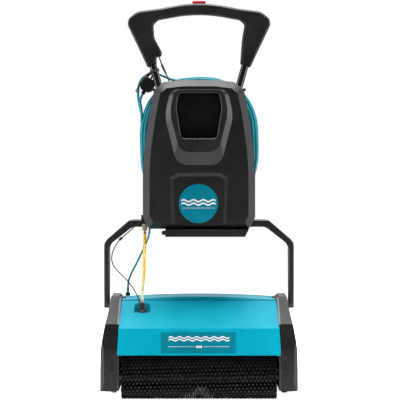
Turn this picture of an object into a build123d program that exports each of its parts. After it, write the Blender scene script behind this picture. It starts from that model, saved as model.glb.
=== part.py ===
from build123d import *
import math
import os

os.makedirs("parts", exist_ok=True)

# Twin-brush upright floor scrubber. Origin on the floor under its middle.
# The front is -Y, the operator stands at +Y, +Z is up. Millimetres.

# Brushes and conveyor drum
brush_length = 436.0
brush_radius = 62.0
brush_core_radius = 30.0
brush_core_wall = 5.0
brush_spacing = 210.0
brush_axis_z = brush_radius
shaft_radius = 8.0
drum_length = brush_length - 8.0
drum_body_radius = 31.0
drum_fin_radius = 37.0
drum_fin_count = 12
drum_axis_z = 80.0
running_clearance = 0.05

# Chassis plates, one at each end
plate_thickness = 5.5
plate_inner_x = brush_length / 2 + 4.5
plate_outer_x = plate_inner_x + plate_thickness
plate_inset = 1.5
bearing_radius = 13.0
rail_radius = 7.0

# Covers
cover_wall = 4.0
cover_top_y = 60.0
cover_top_z = 273.0
cover_crease_y = brush_spacing / 2 + 53.0
cover_crease_z = 205.0
cover_lip_y = brush_spacing / 2 + 77.0
cover_lip_z = 134.0
cover_half_top = plate_inner_x - 2.0
cover_half_bottom = plate_inner_x + 4.0
rear_cover_top_y = 70.0
cover_gap = 0.8
end_rib_depth = 14.0
end_rib_thickness = 3.0

side_top_z = 284.0
side_bottom_z = 31.0
side_half_top = 52.0
side_shoulder_y = brush_spacing / 2 + 45.0
side_shoulder_z = 216.0
side_waist_y = brush_spacing / 2 + 67.0
side_waist_z = 150.0
side_foot_y = brush_spacing / 2 + 69.0
side_foot_z = 60.0
side_toe_y = brush_spacing / 2 + 61.0
side_inner_x = plate_outer_x + 0.5
side_outer_top = plate_inner_x + 29.5
side_outer_leg = plate_inner_x + 35.0
side_leg_z = 237.0
side_outer_crease = plate_inner_x + 41.5
side_outer_x = plate_inner_x + 52.5
side_wall = 5.0
side_cavity_x = plate_inner_x + 24.0
side_corner_x = 13.0
side_corner_y = 17.0

# Brush release latches in the front of the side covers
latch_width = 20.0
latch_height = 61.0
latch_depth = 12.0
latch_low_z = 81.0
latch_clearance = 0.5
latch_travel = 3.0
latch_slant = 17.0
latch_slot = 3.0
screw_radius = 2.0
screw_reach = 10.0
spring_radius = 3.0

# Drive
belt_width = 6.0
belt_half_thickness = 1.8
belt_clearance = 0.4
belt_plane_x = side_inner_x + 1.5
gear_plane_x = belt_plane_x + belt_width + 2.0
motor_radius = 38.0
motor_length = 240.0
motor_y = 112.0
motor_z = 186.0
motor_shaft_radius = 6.0
gear_module = 3.0
gear_teeth = 16
gear_backlash = 0.5
gear_width = 6.0
small_belt_radius = 18.0
large_belt_radius = 22.0
drum_belt_radius = 24.0

# Recovery tank between the covers
tank_front_y = -50.0
tank_rear_y = 60.0
tank_low_z = 128.0
tank_rim_z = 268.0
tank_half_length = plate_inner_x - 9.5
tank_wall = 3.0
lid_half_length = plate_inner_x - 1.5
lid_end_z = 274.5
lid_crown_z = 283.0
lid_front_y = -52.0
lid_rear_y = 62.0

# Fork
pivot_y = 20.0
pivot_z = 258.0
pin_radius = 6.0
bush_wall = 2.0
fork_depth = 30.0
fork_outer_x = side_outer_x + 2.0
fork_leg = 16.5
fork_bend_z = 437.0
fork_top_z = 502.7
fork_top_x = fork_outer_x - 76.0
fork_bar = 21.7
fork_bend_radius = 26.0
pin_head_radius = 9.0
pin_head = 3.0

# Handle tubes and grip
tube_radius = 11.0
tube_wall = 2.0
tube_low_x = 100.0
tube_bend_z = 829.0
tube_lean = 15.5
tube_top_z = 1032.0
grip_half_depth = 18.0
grip_bevel = 5.0
switch_length = 38.0
switch_width = 15.0
switch_height = 16.0
switch_top_z = 1142.0
switch_travel = 3.0
switch_clearance = 0.6

# Solution tank and its cradle
solution_front_y = -130.0
solution_rear_y = -6.0
solution_low_z = 480.0
solution_bevel = 20.0
solution_wall = 3.5
cradle_low_z = 458.0
cradle_plate = 5.0
cradle_plate_top_z = 850.0
cradle_half_width = 95.0
seat_gap = 1.0
foot_x = plate_inner_x + 25.5
foot_radius = 8.5
chamber_half_width = 66.0
chamber_rear_y = -62.0
chamber_front_y = -112.0
chamber_low_z = 728.0
chamber_top_z = 895.0
hood_depth = 12.0
window_bevel = 2.0
cap_z = 853.0
cap_radius = 42.0
cap_wall = 6.0
neck_radius = 34.0
neck_wall = 4.0
cap_clearance = 0.6
disc_radius = 55.0
disc_z = 551.6
disc_thickness = 3.0
front_recess = 6.0
recess_slope = 10.0

# Hose, leads and cables
hose_radius = 4.5
motor_lead_radius = 3.0
control_cable_radius = 1.7
switch_cable_radius = 2.0
mains_radius = 3.75
inlet_x = -plate_inner_x + 61.5
inlet_y = -92.0
inlet_floor_z = 243.0
inlet_top_z = 270.0
pocket_half_width = 22.5
pocket_rear_y = -70.0
pocket_wall = 3.0
cable_hole_x = inlet_x - 7.0
cable_hole_y = -77.0
coupling_x = -157.5
coupling_y = -13.0
coupling_low_z = 472.0
coupling_height = 18.0
coupling_radius = 7.7
gland_x = -plate_inner_x + 10.5
gland_y = 84.0
gland_top_z = 282.0
coil_y = 53.0
coil_bundle_radius = 14.0
coil_half_width = 163.0
coil_top_z = 911.0
coil_low_z = 534.0
coil_corner_radius = 134.0


def box_between(x0, x1, y0, y1, z0, z1):
    centre = Pos((x0 + x1) / 2, (y0 + y1) / 2, (z0 + z1) / 2)
    return centre * Box(x1 - x0, y1 - y0, z1 - z0)


def cylinder_x(x0, x1, y, z, radius):
    return Pos((x0 + x1) / 2, y, z) * Rot(0, 90, 0) * Cylinder(radius, abs(x1 - x0))


def cylinder_y(x, y0, y1, z, radius):
    return Pos(x, (y0 + y1) / 2, z) * Rot(90, 0, 0) * Cylinder(radius, abs(y1 - y0))


def cylinder_z(x, y, z0, z1, radius):
    return Pos(x, y, (z0 + z1) / 2) * Cylinder(radius, abs(z1 - z0))


def prism_x(points, x0, x1):
    """Extrude a (y, z) outline along X."""
    plane = Plane(origin=(x0, 0, 0), x_dir=(0, 1, 0), z_dir=(1, 0, 0))
    face = plane * make_face(Polyline(*points, close=True))
    return extrude(face, amount=x1 - x0, dir=(1, 0, 0))


def outline_face_y(points, y):
    """A flat face from an (x, z) outline, square to Y."""
    plane = Plane(origin=(0, y, 0), x_dir=(1, 0, 0), z_dir=(0, -1, 0))
    return plane * make_face(Polyline(*points, close=True))


def prism_y(points, y0, y1):
    """Extrude an (x, z) outline along Y."""
    return extrude(outline_face_y(points, y0), amount=y1 - y0, dir=(0, 1, 0))


def rounded_face_y(corners, y):
    """A flat face from an outline whose corners are (x, z, radius), square to Y."""
    line = FilletPolyline(*[corner[:2] for corner in corners],
                          radius=[corner[2] for corner in corners], close=True)
    plane = Plane(origin=(0, y, 0), x_dir=(1, 0, 0), z_dir=(0, -1, 0))
    return plane * make_face(line)


def rounded_prism_y(corners, y0, y1):
    """Extrude a rounded (x, z) outline along Y."""
    return extrude(rounded_face_y(corners, y0), amount=y1 - y0, dir=(0, 1, 0))


def prism_z(points, z0, z1):
    """Extrude an (x, y) outline along Z."""
    face = Plane(origin=(0, 0, z0)) * make_face(Polyline(*points, close=True))
    return extrude(face, amount=z1 - z0, dir=(0, 0, 1))


def both_sides(points):
    """Complete a left-right symmetric outline from its positive half."""
    return list(points) + [(-point[0],) + tuple(point[1:]) for point in reversed(points)]


def shifted_line(points, distance):
    """Move an open line sideways by a distance, with mitred corners."""
    lines = []
    for (a0, b0), (a1, b1) in zip(points, points[1:]):
        length = math.hypot(a1 - a0, b1 - b0)
        lines.append(((b1 - b0) / length, -(a1 - a0) / length))
    result = []
    for index, (a, b) in enumerate(points):
        before = lines[max(index - 1, 0)]
        after = lines[min(index, len(lines) - 1)]
        mid_a, mid_b = before[0] + after[0], before[1] + after[1]
        scale = 2 * distance / (mid_a ** 2 + mid_b ** 2)
        result.append((a + mid_a * scale, b + mid_b * scale))
    return result


def inset_outline(points, distance):
    """Move a closed outline inwards, whichever way round it is drawn."""
    area = sum(a[0] * b[1] - b[0] * a[1] for a, b in zip(points, points[1:] + points[:1]))
    ring = [points[-1]] + list(points) + [points[0]]
    return shifted_line(ring, -distance if area > 0 else distance)[1:-1]


def tube_along(points, radii, radius):
    path = FilletPolyline(*points, radius=radii)
    start = path @ 0
    section = Plane(origin=start, z_dir=path % 0) * Circle(radius)
    return sweep(section, path=path)


def turn_radii(points):
    """Give every corner of a route the largest arc its two runs allow."""
    radii = []
    for a, b, c in zip(points, points[1:], points[2:]):
        first, second = Vector(*b) - Vector(*a), Vector(*c) - Vector(*b)
        half_turn = math.radians(first.get_angle(second)) / 2
        radii.append(0.45 * min(first.length, second.length) / math.tan(half_turn))
    return radii


def cord_tube(name, points, radius):
    radii = turn_radii(points)
    tube = tube_along(points, radii, radius)
    path_length = FilletPolyline(*points, radius=radii).length
    expected = math.pi * radius ** 2 * path_length
    print(f"{name}: length {path_length:.0f}, volume ratio {tube.volume / expected:.4f}, radii",
          [round(value) for value in radii])
    return tube


def save(name, *solids):
    shape = solids[0] if len(solids) == 1 else Compound(children=list(solids))
    export_step(shape, f"parts/{name}.step")


def mirrored(shape):
    return mirror(shape, about=Plane.YZ)


# Outlines shared by several pieces
half_spacing = brush_spacing / 2
front_axis = (-half_spacing, brush_axis_z)
rear_axis = (half_spacing, brush_axis_z)
drum_axis = (0.0, drum_axis_z)
motor_axis = (motor_y, motor_z)
counter_axis = (motor_y - gear_module * gear_teeth, motor_z)
rail_axes = [(-half_spacing - 36.0, 150.0), (half_spacing + 36.0, 150.0), (70.0, 128.0)]
screw_axes = [(-half_spacing - 45.0, 120.0), (-48.0, 260.0), (50.0, 260.0), (half_spacing + 45.0, 120.0)]
spray_axis = (-64.0, 142.0)
pivot_axis = (pivot_y, pivot_z)
side_outline = both_sides([
    (side_half_top, side_top_z), (side_shoulder_y, side_shoulder_z), (side_waist_y, side_waist_z),
    (side_foot_y, side_foot_z), (side_toe_y, side_bottom_z)])


def cover_line(top_y):
    return [(-top_y, cover_top_z), (-cover_crease_y, cover_crease_z), (-cover_lip_y, cover_lip_z)]


def cover_taper(grow):
    low, high = cover_lip_z - 20, cover_top_z + 20
    slope = (cover_half_bottom - cover_half_top) / (cover_top_z - cover_lip_z)
    half_low = cover_half_bottom + 20 * slope + grow
    half_high = cover_half_top - 20 * slope + grow
    outline = [(half_high, high), (half_low, low), (-half_low, low), (-half_high, high)]
    return prism_y(outline, -cover_lip_y - 10, cover_lip_y + 10)


def cover_skin(top_y, grow):
    """A bent sheet as wide as the deck, tapered in front view."""
    outer = shifted_line(cover_line(top_y), grow)
    inner = shifted_line(cover_line(top_y), -cover_wall - grow)
    half = cover_half_bottom + 10
    return prism_x(outer + inner[::-1], -half, half) & cover_taper(grow)


def cover_with_ribs(top_y):
    line = cover_line(top_y)
    skin = cover_skin(top_y, 0)
    deep = shifted_line(line, -end_rib_depth)
    for side in (-1, 1):
        near = side * (cover_half_top - 2)
        far = near - side * end_rib_thickness
        skin += prism_x(line + deep[::-1], min(near, far), max(near, far))
    return skin & cover_taper(0)


def make_front_cover():
    cover = cover_with_ribs(cover_top_y)
    line = cover_line(cover_top_y)
    block = prism_x(line + [(-cover_top_y, cover_lip_z)], -cover_half_top, cover_half_top)
    pocket = box_between(inlet_x - pocket_half_width, inlet_x + pocket_half_width,
                         -cover_crease_y, pocket_rear_y, inlet_floor_z, cover_top_z + 20)
    pocket = fillet(pocket.edges().filter_by(Axis.Z).group_by(Axis.Y)[-1], 9)
    tub = box_between(inlet_x - pocket_half_width - pocket_wall, inlet_x + pocket_half_width + pocket_wall,
                      -cover_crease_y, pocket_rear_y + pocket_wall,
                      inlet_floor_z - pocket_wall, cover_top_z)
    cover = cover + (tub & block) - pocket
    cover -= cylinder_z(inlet_x, inlet_y, inlet_floor_z - 10, inlet_floor_z + 1, 6.2)
    return cover - cylinder_z(cable_hole_x, cable_hole_y, inlet_floor_z - 10, inlet_floor_z + 1, 1.5)


def make_rear_cover():
    cover = mirror(cover_with_ribs(rear_cover_top_y), about=Plane.XZ)
    return cover - cylinder_z(gland_x, gland_y, cover_crease_z, cover_top_z + 10, 6.2)


def make_chassis_plate():
    plate = prism_x(inset_outline(side_outline, plate_inset), plate_inner_x, plate_outer_x)
    plate -= cover_skin(cover_top_y, cover_gap)
    plate -= mirror(cover_skin(rear_cover_top_y, cover_gap), about=Plane.XZ)
    lid_slot = box_between(plate_inner_x - 1, plate_outer_x + 1, lid_front_y, lid_rear_y,
                           side_top_z - 6, side_top_z + 10)
    plate -= lid_slot
    for y, z in (front_axis, rear_axis, drum_axis):
        plate -= cylinder_x(plate_inner_x - 1, plate_outer_x + 1, y, z, bearing_radius)
    for y, z in rail_axes + [spray_axis]:
        plate -= cylinder_x(plate_inner_x - 1, plate_outer_x + 1, y, z, rail_radius - 1)
    for y, z in screw_axes:
        plate -= cylinder_x(plate_outer_x - 3, plate_outer_x + 1, y, z, screw_radius)
    plate -= cylinder_x(plate_inner_x - 1, plate_outer_x + 1, *pivot_axis, pin_radius)
    return max(plate.solids(), key=lambda solid: solid.volume)


def make_right_plate():
    plate = make_chassis_plate()
    low, high = plate_inner_x - 1, plate_outer_x + 1
    plate -= cylinder_x(low, high, *motor_axis, motor_shaft_radius + 1)
    return plate - cylinder_x(low, high, *counter_axis, motor_shaft_radius + running_clearance)


def make_cross_rails():
    rails = []
    for y, z in rail_axes:
        rail = cylinder_x(-plate_inner_x, plate_inner_x, y, z, rail_radius)
        rails.append(rail + cylinder_x(-plate_outer_x, plate_outer_x, y, z, rail_radius - 1))
    return rails


def make_side_cover():
    """Right-hand cover. It is hollow behind the plate, with a boss for the pivot pin."""
    front_view = [
        (side_inner_x, side_top_z + 1), (side_outer_top, side_top_z), (side_outer_leg, side_leg_z),
        (side_outer_crease, cover_crease_z), (side_outer_x - 2, side_waist_z),
        (side_outer_x, side_waist_z - side_foot_z), (side_outer_x, side_bottom_z - 1),
        (side_inner_x, side_bottom_z - 1)]
    plan = [(side_inner_x, -side_foot_y - 1), (side_outer_x - side_corner_x, -side_foot_y - 1),
            (side_outer_x, -side_foot_y + side_corner_y), (side_outer_x, side_foot_y - side_corner_y),
            (side_outer_x - side_corner_x, side_foot_y + 1), (side_inner_x, side_foot_y + 1)]
    cover = prism_x(side_outline, side_inner_x, side_outer_x)
    cover &= prism_y(front_view, -side_foot_y - 1, side_foot_y + 1)
    cover &= prism_z(plan, side_bottom_z - 1, side_top_z + 1)
    inner = inset_outline(side_outline, side_wall)
    cavity = prism_x(inner, side_inner_x - 1, side_cavity_x)
    wall_y = -side_foot_y + latch_depth + latch_travel + side_wall
    cavity -= box_between(side_inner_x - 1, side_cavity_x + 1, -side_foot_y, wall_y,
                          latch_low_z - 8, latch_low_z + latch_height + 8)
    cover -= cavity
    for y, z in screw_axes:
        cover += cylinder_x(side_inner_x, side_cavity_x + 1, y, z, 5)
        cover -= cylinder_x(side_inner_x - 1, side_inner_x + screw_reach, y, z, screw_radius)
    cover -= latch_pocket()
    cover -= cylinder_x(side_cavity_x - 5, side_outer_x, *pivot_axis, pin_radius + 0.5)
    cover -= box_between(foot_x - 9, foot_x + 9, -16, 16, side_bottom_z - 1, side_bottom_z + 1)
    return max(cover.solids(), key=lambda solid: solid.volume)




def latch_profile(gap):
    """The latch seen from the front, its top sloping down and outwards."""
    x0 = side_inner_x + latch_clearance - gap
    x1 = side_inner_x + latch_clearance + latch_width + gap
    top = latch_low_z + latch_height + gap
    return [(x0, latch_low_z - gap), (x1, latch_low_z - gap), (x1, top - latch_slant), (x0, top)]


def latch_pocket():
    rear_y = -side_foot_y + latch_depth + latch_travel + 1
    return prism_y(latch_profile(latch_clearance), -side_foot_y - 5, rear_y)


def make_latch():
    x0 = side_inner_x + latch_clearance
    y0 = -side_foot_y
    high = latch_low_z + latch_height
    body = prism_y(latch_profile(0), y0, y0 + latch_depth)
    for x in (x0 + 5.5, x0 + 11.5):
        body -= box_between(x, x + latch_slot, y0 - 1, y0 + 5, latch_low_z + 8, high - 20)
    for z in (latch_low_z + 4, high - 16):
        body -= cylinder_y(x0 + 8, y0 + 5.5, y0 + latch_depth + 1, z, spring_radius + 0.5)
    return body


def make_latch_springs():
    springs = []
    x = side_inner_x + latch_clearance + 8
    high = latch_low_z + latch_height
    rear_y = -side_foot_y + latch_depth + latch_travel + 1
    for z in (latch_low_z + 4, high - 16):
        spring = cylinder_y(x, rear_y - 6, rear_y, z, spring_radius)
        spring -= cylinder_y(x, rear_y - 7, rear_y + 1, z, spring_radius - 1)
        springs += [spring, mirrored(spring)]
    return springs


def make_brush_core(y, z):
    half = brush_length / 2
    core = cylinder_x(-half, half, y, z, brush_core_radius)
    core -= cylinder_x(-half + 12, half - 12, y, z, brush_core_radius - brush_core_wall)
    reach = belt_plane_x + belt_width + 0.5
    core += cylinder_x(-reach, -half + 12, y, z, shaft_radius)
    return core + cylinder_x(half - 12, reach, y, z, shaft_radius)


def make_bristles(y, z):
    half = brush_length / 2
    ring = cylinder_x(-half, half, y, z, brush_radius)
    return ring - cylinder_x(-half - 1, half + 1, y, z, brush_core_radius)


def make_pulley(side, axis, belt_radius, bore):
    y, z = axis
    radius = belt_radius - belt_half_thickness - belt_clearance
    x0, x1 = sorted((side * belt_plane_x, side * (belt_plane_x + belt_width)))
    pulley = cylinder_x(x0, x1, y, z, radius)
    return pulley - cylinder_x(x0 - 1, x1 + 1, y, z, bore)


def make_drum():
    half = drum_length / 2
    drum = cylinder_x(-half, half, *drum_axis, drum_body_radius)
    for index in range(drum_fin_count):
        angle = 360 * index / drum_fin_count
        fin = Pos(0, 0, drum_body_radius - 1 + (drum_fin_radius - drum_body_radius) / 2) * Box(
            drum_length - 8, 3, drum_fin_radius - drum_body_radius)
        drum += Pos(0, *drum_axis) * Rot(angle, 0, 0) * fin
    drum -= cylinder_x(-half + 12, half - 12, *drum_axis, drum_body_radius - brush_core_wall)
    reach = belt_plane_x + belt_width + 0.5
    left = cylinder_x(-reach, -half + 12, *drum_axis, shaft_radius)
    return drum + left + cylinder_x(half - 12, reach, *drum_axis, shaft_radius)


def make_bearings():
    bearings = []
    for side in (-1, 1):
        for y, z in (front_axis, rear_axis, drum_axis):
            x0, x1 = sorted((side * (plate_inner_x - 1.5), side * (plate_outer_x + 0.3)))
            ring = cylinder_x(x0, x1, y, z, bearing_radius)
            bearings.append(ring - cylinder_x(x0 - 1, x1 + 1, y, z, shaft_radius + running_clearance))
    return bearings


def belt_loop(stops, shift):
    """A closed belt outline round pulleys, each stop a centre and a radius, anticlockwise."""
    corners = []
    count = len(stops)
    for index, (centre, radius) in enumerate(stops):
        other, other_radius = stops[(index + 1) % count]
        dy, dz = other[0] - centre[0], other[1] - centre[1]
        normal = math.atan2(dz, dy) + math.acos((other_radius - radius) / math.hypot(dy, dz))
        corners.append((normal, centre, radius + shift, other, other_radius + shift))
    edges = []
    for index, (normal, centre, radius, other, other_radius) in enumerate(corners):
        before = corners[index - 1][0]
        turn = (normal - before) % (2 * math.pi)
        arc = []
        for angle in (before, before + turn / 2, before + turn):
            arc.append((centre[0] - radius * math.cos(angle), centre[1] - radius * math.sin(angle)))
        edges.append(ThreePointArc(*arc))
        far = (other[0] - other_radius * math.cos(normal), other[1] - other_radius * math.sin(normal))
        edges.append(Line(arc[2], far))
    return make_face(edges)


def make_belt(side, stops):
    band = belt_loop(stops, belt_half_thickness) - belt_loop(stops, -belt_half_thickness)
    x0 = belt_plane_x if side > 0 else -belt_plane_x - belt_width
    plane = Plane(origin=(x0, 0, 0), x_dir=(0, 1, 0), z_dir=(1, 0, 0))
    return extrude(plane * band, amount=belt_width, dir=(1, 0, 0))


def make_drive_belts():
    front = make_belt(1, [(front_axis, large_belt_radius), (counter_axis, small_belt_radius)])
    rear = make_belt(1, [(rear_axis, large_belt_radius), (motor_axis, small_belt_radius)])
    drum = make_belt(-1, [(front_axis, drum_belt_radius), (drum_axis, drum_belt_radius)])
    return front, rear, drum


def gear_outline(axis, phase):
    """Involute teeth, slightly thin so that the pair turns freely."""
    pressure = math.radians(20)
    pitch = gear_module * gear_teeth / 2
    base = pitch * math.cos(pressure)
    outer = pitch + 0.9 * gear_module
    root = pitch - 1.25 * gear_module
    half_tooth = math.pi / (2 * gear_teeth) - gear_backlash / (2 * pitch)
    flank = []
    for step in range(5):
        radius = base + (outer - base) * step / 4
        alpha = math.acos(base / radius)
        lean = half_tooth + math.tan(pressure) - pressure - (math.tan(alpha) - alpha)
        flank.append((radius, lean))
    tooth = [(root, -flank[0][1])] + [(r, -a) for r, a in flank]
    tooth += [(r, a) for r, a in reversed(flank)] + [(root, flank[0][1])]
    points = []
    for index in range(gear_teeth):
        centre = phase + 2 * math.pi * index / gear_teeth
        for radius, lean in tooth:
            angle = centre + lean
            points.append((axis[0] + radius * math.cos(angle), axis[1] + radius * math.sin(angle)))
    return points


def make_gear(axis, phase):
    return prism_x(gear_outline(axis, phase), gear_plane_x, gear_plane_x + gear_width)


def make_motor():
    end = plate_inner_x
    face = end - 20
    can = cylinder_x(face - motor_length, face, *motor_axis, motor_radius)
    can += cylinder_x(face, end, *motor_axis, motor_radius - 10)
    for step in range(5):
        x = face - 30 - 40 * step
        can -= cylinder_x(x, x + 4, *motor_axis, motor_radius + 1) - cylinder_x(x, x + 4, *motor_axis,
                                                                               motor_radius - 1.5)
    bore = motor_shaft_radius + running_clearance
    return can - cylinder_x(face - 30, end + 1, *motor_axis, bore)


def make_motor_shaft():
    shaft = cylinder_x(plate_inner_x - 40, gear_plane_x + gear_width + 0.8, *motor_axis, motor_shaft_radius)
    return shaft + make_gear(motor_axis, math.pi) + make_pulley(1, motor_axis, small_belt_radius, 1)


def make_counter_gear():
    low = plate_inner_x - 4
    shaft = cylinder_x(low, gear_plane_x + gear_width + 0.8, *counter_axis, motor_shaft_radius)
    shaft += cylinder_x(low, plate_inner_x - 0.5, *counter_axis, motor_shaft_radius + 3)
    shaft += make_pulley(1, counter_axis, small_belt_radius, 1)
    return shaft + make_gear(counter_axis, math.pi / gear_teeth)


def make_inlet():
    profile = [(0, inlet_floor_z), (13, inlet_floor_z), (13, inlet_floor_z + 3), (9.3, inlet_floor_z + 7),
               (8.6, inlet_top_z - 4), (6.6, inlet_top_z), (0, inlet_top_z)]
    plane = Plane(origin=(inlet_x, inlet_y, 0), x_dir=(1, 0, 0), z_dir=(0, -1, 0))
    axis = Axis((inlet_x, inlet_y, 0), (0, 0, 1))
    body = revolve(plane * make_face(Polyline(*profile, close=True)), axis=axis)
    body += cylinder_z(inlet_x, inlet_y, inlet_floor_z - 15, inlet_floor_z, 6)
    return body - cylinder_z(inlet_x, inlet_y, inlet_floor_z - 16, inlet_top_z - 3, 2.5)


def make_spray_bar():
    y, z = spray_axis
    pipe = cylinder_x(-plate_inner_x, plate_inner_x, y, z, rail_radius)
    pipe += cylinder_x(-plate_outer_x, plate_outer_x, y, z, rail_radius - 1)
    top = inlet_floor_z - 15
    feed = tube_along([(inlet_x, inlet_y, top), (inlet_x, inlet_y, z + 30), (inlet_x, y, z + 2)], [14], 5)
    pipe += feed
    for step in range(9):
        x = (step - 4) * 48
        pipe -= Pos(x, y - 5, z - 5) * Rot(-45, 0, 0) * Cylinder(1.5, 12)
    return pipe - cylinder_x(-plate_inner_x + 5, plate_inner_x - 5, y, z, rail_radius - 2.5)


def make_recovery_tank():
    half = tank_half_length
    tank = box_between(-half, half, tank_front_y, tank_rear_y, tank_low_z, tank_rim_z)
    inner = half - tank_wall
    tank -= box_between(-inner, inner, tank_front_y + tank_wall, tank_rear_y - tank_wall,
                        tank_low_z + tank_wall, tank_rim_z + 1)
    slot_y = tank_front_y + 24
    tank += box_between(-inner, inner, slot_y, slot_y + tank_wall, tank_low_z, tank_low_z + 70)
    return tank - box_between(-inner + 8, inner - 8, tank_front_y + tank_wall + 1, slot_y,
                              tank_low_z - 1, tank_low_z + tank_wall + 1)


def make_recovery_lid():
    low = tank_rim_z
    crown = [(-lid_half_length, lid_end_z), (-lid_half_length, low), (lid_half_length, low),
             (lid_half_length, lid_end_z)]
    plane = Plane(origin=(0, lid_front_y, 0), x_dir=(1, 0, 0), z_dir=(0, -1, 0))
    top = ThreePointArc((lid_half_length, lid_end_z), (0, lid_crown_z), (-lid_half_length, lid_end_z))
    lid = extrude(plane * make_face([Polyline(*crown), top]), amount=lid_rear_y - lid_front_y, dir=(0, 1, 0))
    half = lid_half_length + 1
    slope, step, rebate = 9.0, 3.5, 4.0
    for edge, inward in ((lid_front_y, 1), (lid_rear_y, -1)):
        lid -= prism_x([(edge - inward, lid_crown_z + 1), (edge - inward, lid_end_z - 1),
                        (edge + inward * slope, lid_crown_z + 1)], -half, half)
        y0, y1 = sorted((edge - inward, edge + inward * step))
        lid -= box_between(-half, half, y0, y1, low - 1, low + rebate)
    lid -= box_between(-tank_half_length + 12, tank_half_length - 12, tank_front_y + 10, tank_rear_y - 10,
                       low - 1, lid_end_z - 3)
    for side in (-1, 1):
        x0, x1 = sorted((side * (lid_half_length - 9), side * (lid_half_length + 1)))
        lid -= box_between(x0, x1, -8, 20, lid_end_z - 3, lid_crown_z + 1)
    return lid


def make_label_plate():
    line = cover_line(cover_top_y)[1:]
    outer = shifted_line(line, 1.2)
    plate = prism_x(line + outer[::-1], -105.0, 101.0)
    return plate & box_between(-105, 101, -cover_lip_y - 5, -cover_crease_y - 2, cover_lip_z + 7,
                               cover_crease_z - 10)


def make_foot():
    foot = cylinder_z(foot_x, 0, 0, side_bottom_z - 1, foot_radius)
    foot += cylinder_z(foot_x, 0, side_bottom_z - 4, side_bottom_z + 1, foot_radius - 2)
    return foot - cylinder_z(foot_x, 0, -1, 6, 3)


def make_cover_screws():
    screws = []
    for side in (-1, 1):
        for y, z in screw_axes:
            x0, x1 = sorted((side * (plate_outer_x - 3), side * (side_inner_x + screw_reach)))
            screws.append(cylinder_x(x0, x1, y, z, screw_radius))
    return screws


def make_pivot_pin():
    head_x = fork_outer_x - 0.5
    pin = cylinder_x(plate_inner_x, head_x, *pivot_axis, pin_radius)
    pin += cylinder_x(head_x - pin_head, head_x, *pivot_axis, pin_head_radius)
    return pin


def make_bush():
    x0 = fork_outer_x - fork_leg
    ring = cylinder_x(x0, fork_outer_x - pin_head - 1, *pivot_axis, pin_radius + bush_wall)
    return ring - cylinder_x(x0 - 1, fork_outer_x, *pivot_axis, pin_radius + running_clearance)


def make_fork():
    half = fork_depth / 2
    inner_x = fork_outer_x - fork_leg
    bar_low = fork_top_z - fork_bar
    outer = [(fork_outer_x, pivot_z - half - 1), (fork_outer_x, fork_bend_z), (fork_top_x, fork_top_z)]
    inner = [(fork_top_x - 7, bar_low), (inner_x, fork_bend_z - 8), (inner_x, pivot_z - half - 1)]
    outline = outer + [(-x, z) for x, z in reversed(outer)] + [(-x, z) for x, z in reversed(inner)] + inner
    fork = prism_y(outline, pivot_y - half, pivot_y + half)
    corners = [edge for edge in fork.edges().filter_by(Axis.Y)
               if edge.center().Z > fork_bend_z - 20]
    fork = fillet(corners, fork_bend_radius)
    fork = chamfer(fork.faces().filter_by(Axis.Y).edges(), 3)
    low = pivot_z - half - 2
    for side in (-1, 1):
        x0, x1 = sorted((side * (inner_x - 1), side * (fork_outer_x + 1)))
        corner = box_between(x0, x1, pivot_y - half - 1, pivot_y + half + 1, low, pivot_z)
        fork -= corner - cylinder_x(x0 - 1, x1 + 1, *pivot_axis, half)
        fork -= cylinder_x(x0, x1, *pivot_axis, pin_radius + bush_wall)
        head = sorted((side * (fork_outer_x - pin_head - 1), side * (fork_outer_x + 1)))
        fork -= cylinder_x(head[0], head[1], *pivot_axis, pin_head_radius + 0.6)
    for x in (-tube_low_x, tube_low_x):
        fork -= cylinder_z(x, pivot_y, bar_low + 6, fork_top_z + 1, tube_radius)
    return fork


def tube_line_x(z):
    return tube_low_x + max(z - tube_bend_z, 0) * math.tan(math.radians(tube_lean))


def make_handle_tube():
    points = [(tube_low_x, pivot_y, fork_top_z - fork_bar + 6), (tube_low_x, pivot_y, tube_bend_z),
              (tube_line_x(tube_top_z), pivot_y, tube_top_z)]
    outer = tube_along(points, [120], tube_radius)
    inner = tube_along(points, [120], tube_radius - tube_wall)
    return outer - inner


def make_tube_clamps():
    clamps = []
    for z in (545.0, 790.0):
        block = box_between(tube_low_x - 16, tube_low_x + 16, seat_gap, pivot_y + 15, z - 12, z + 12)
        block -= cylinder_z(tube_low_x, pivot_y, z - 13, z + 13, tube_radius)
        clamps += [block, mirrored(block)]
    return clamps


# Corners of the grip as (x, z, radius)
grip_outer = [(-114, 1118, 60), (-179, 1110, 42), (-205, 1089, 22), (-209, 1071, 24), (-171, 991.5, 12),
              (-150, 946, 8)]
grip_inner_bar = [(-133, 1074, 12), (-119, 1086.4, 10), (-63, 1096.7, 60), (0, 1105.2, 400)]
grip_inner_left = [(-124, 956, 7), (-124.5, 978, 6), (-112, 979.5, 6), (-107.5, 989, 12), (-131, 1033, 40)]
grip_inner_right = [(125, 1023, 40), (120.5, 956, 8)]


def make_grip():
    outline = [(0, 1139.4, 400)] + grip_outer + grip_inner_left + grip_inner_bar
    outline += [(-x, z, r) for x, z, r in reversed(grip_inner_bar[:-1])] + grip_inner_right
    outline += [(-x, z, r) for x, z, r in reversed(grip_outer)]
    grip = rounded_prism_y(outline, pivot_y - grip_half_depth, pivot_y + grip_half_depth)
    grip = chamfer(grip.faces().filter_by(Axis.Y).edges(), grip_bevel)
    tube = make_tube_space()
    grip -= tube
    grip -= mirrored(tube)
    low = switch_top_z - switch_height - switch_travel - 2
    reach = switch_length / 2 + switch_clearance
    width = switch_width / 2 + switch_clearance
    grip -= box_between(-reach, reach, pivot_y - width, pivot_y + width, low, switch_top_z + 1)
    return grip


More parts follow.
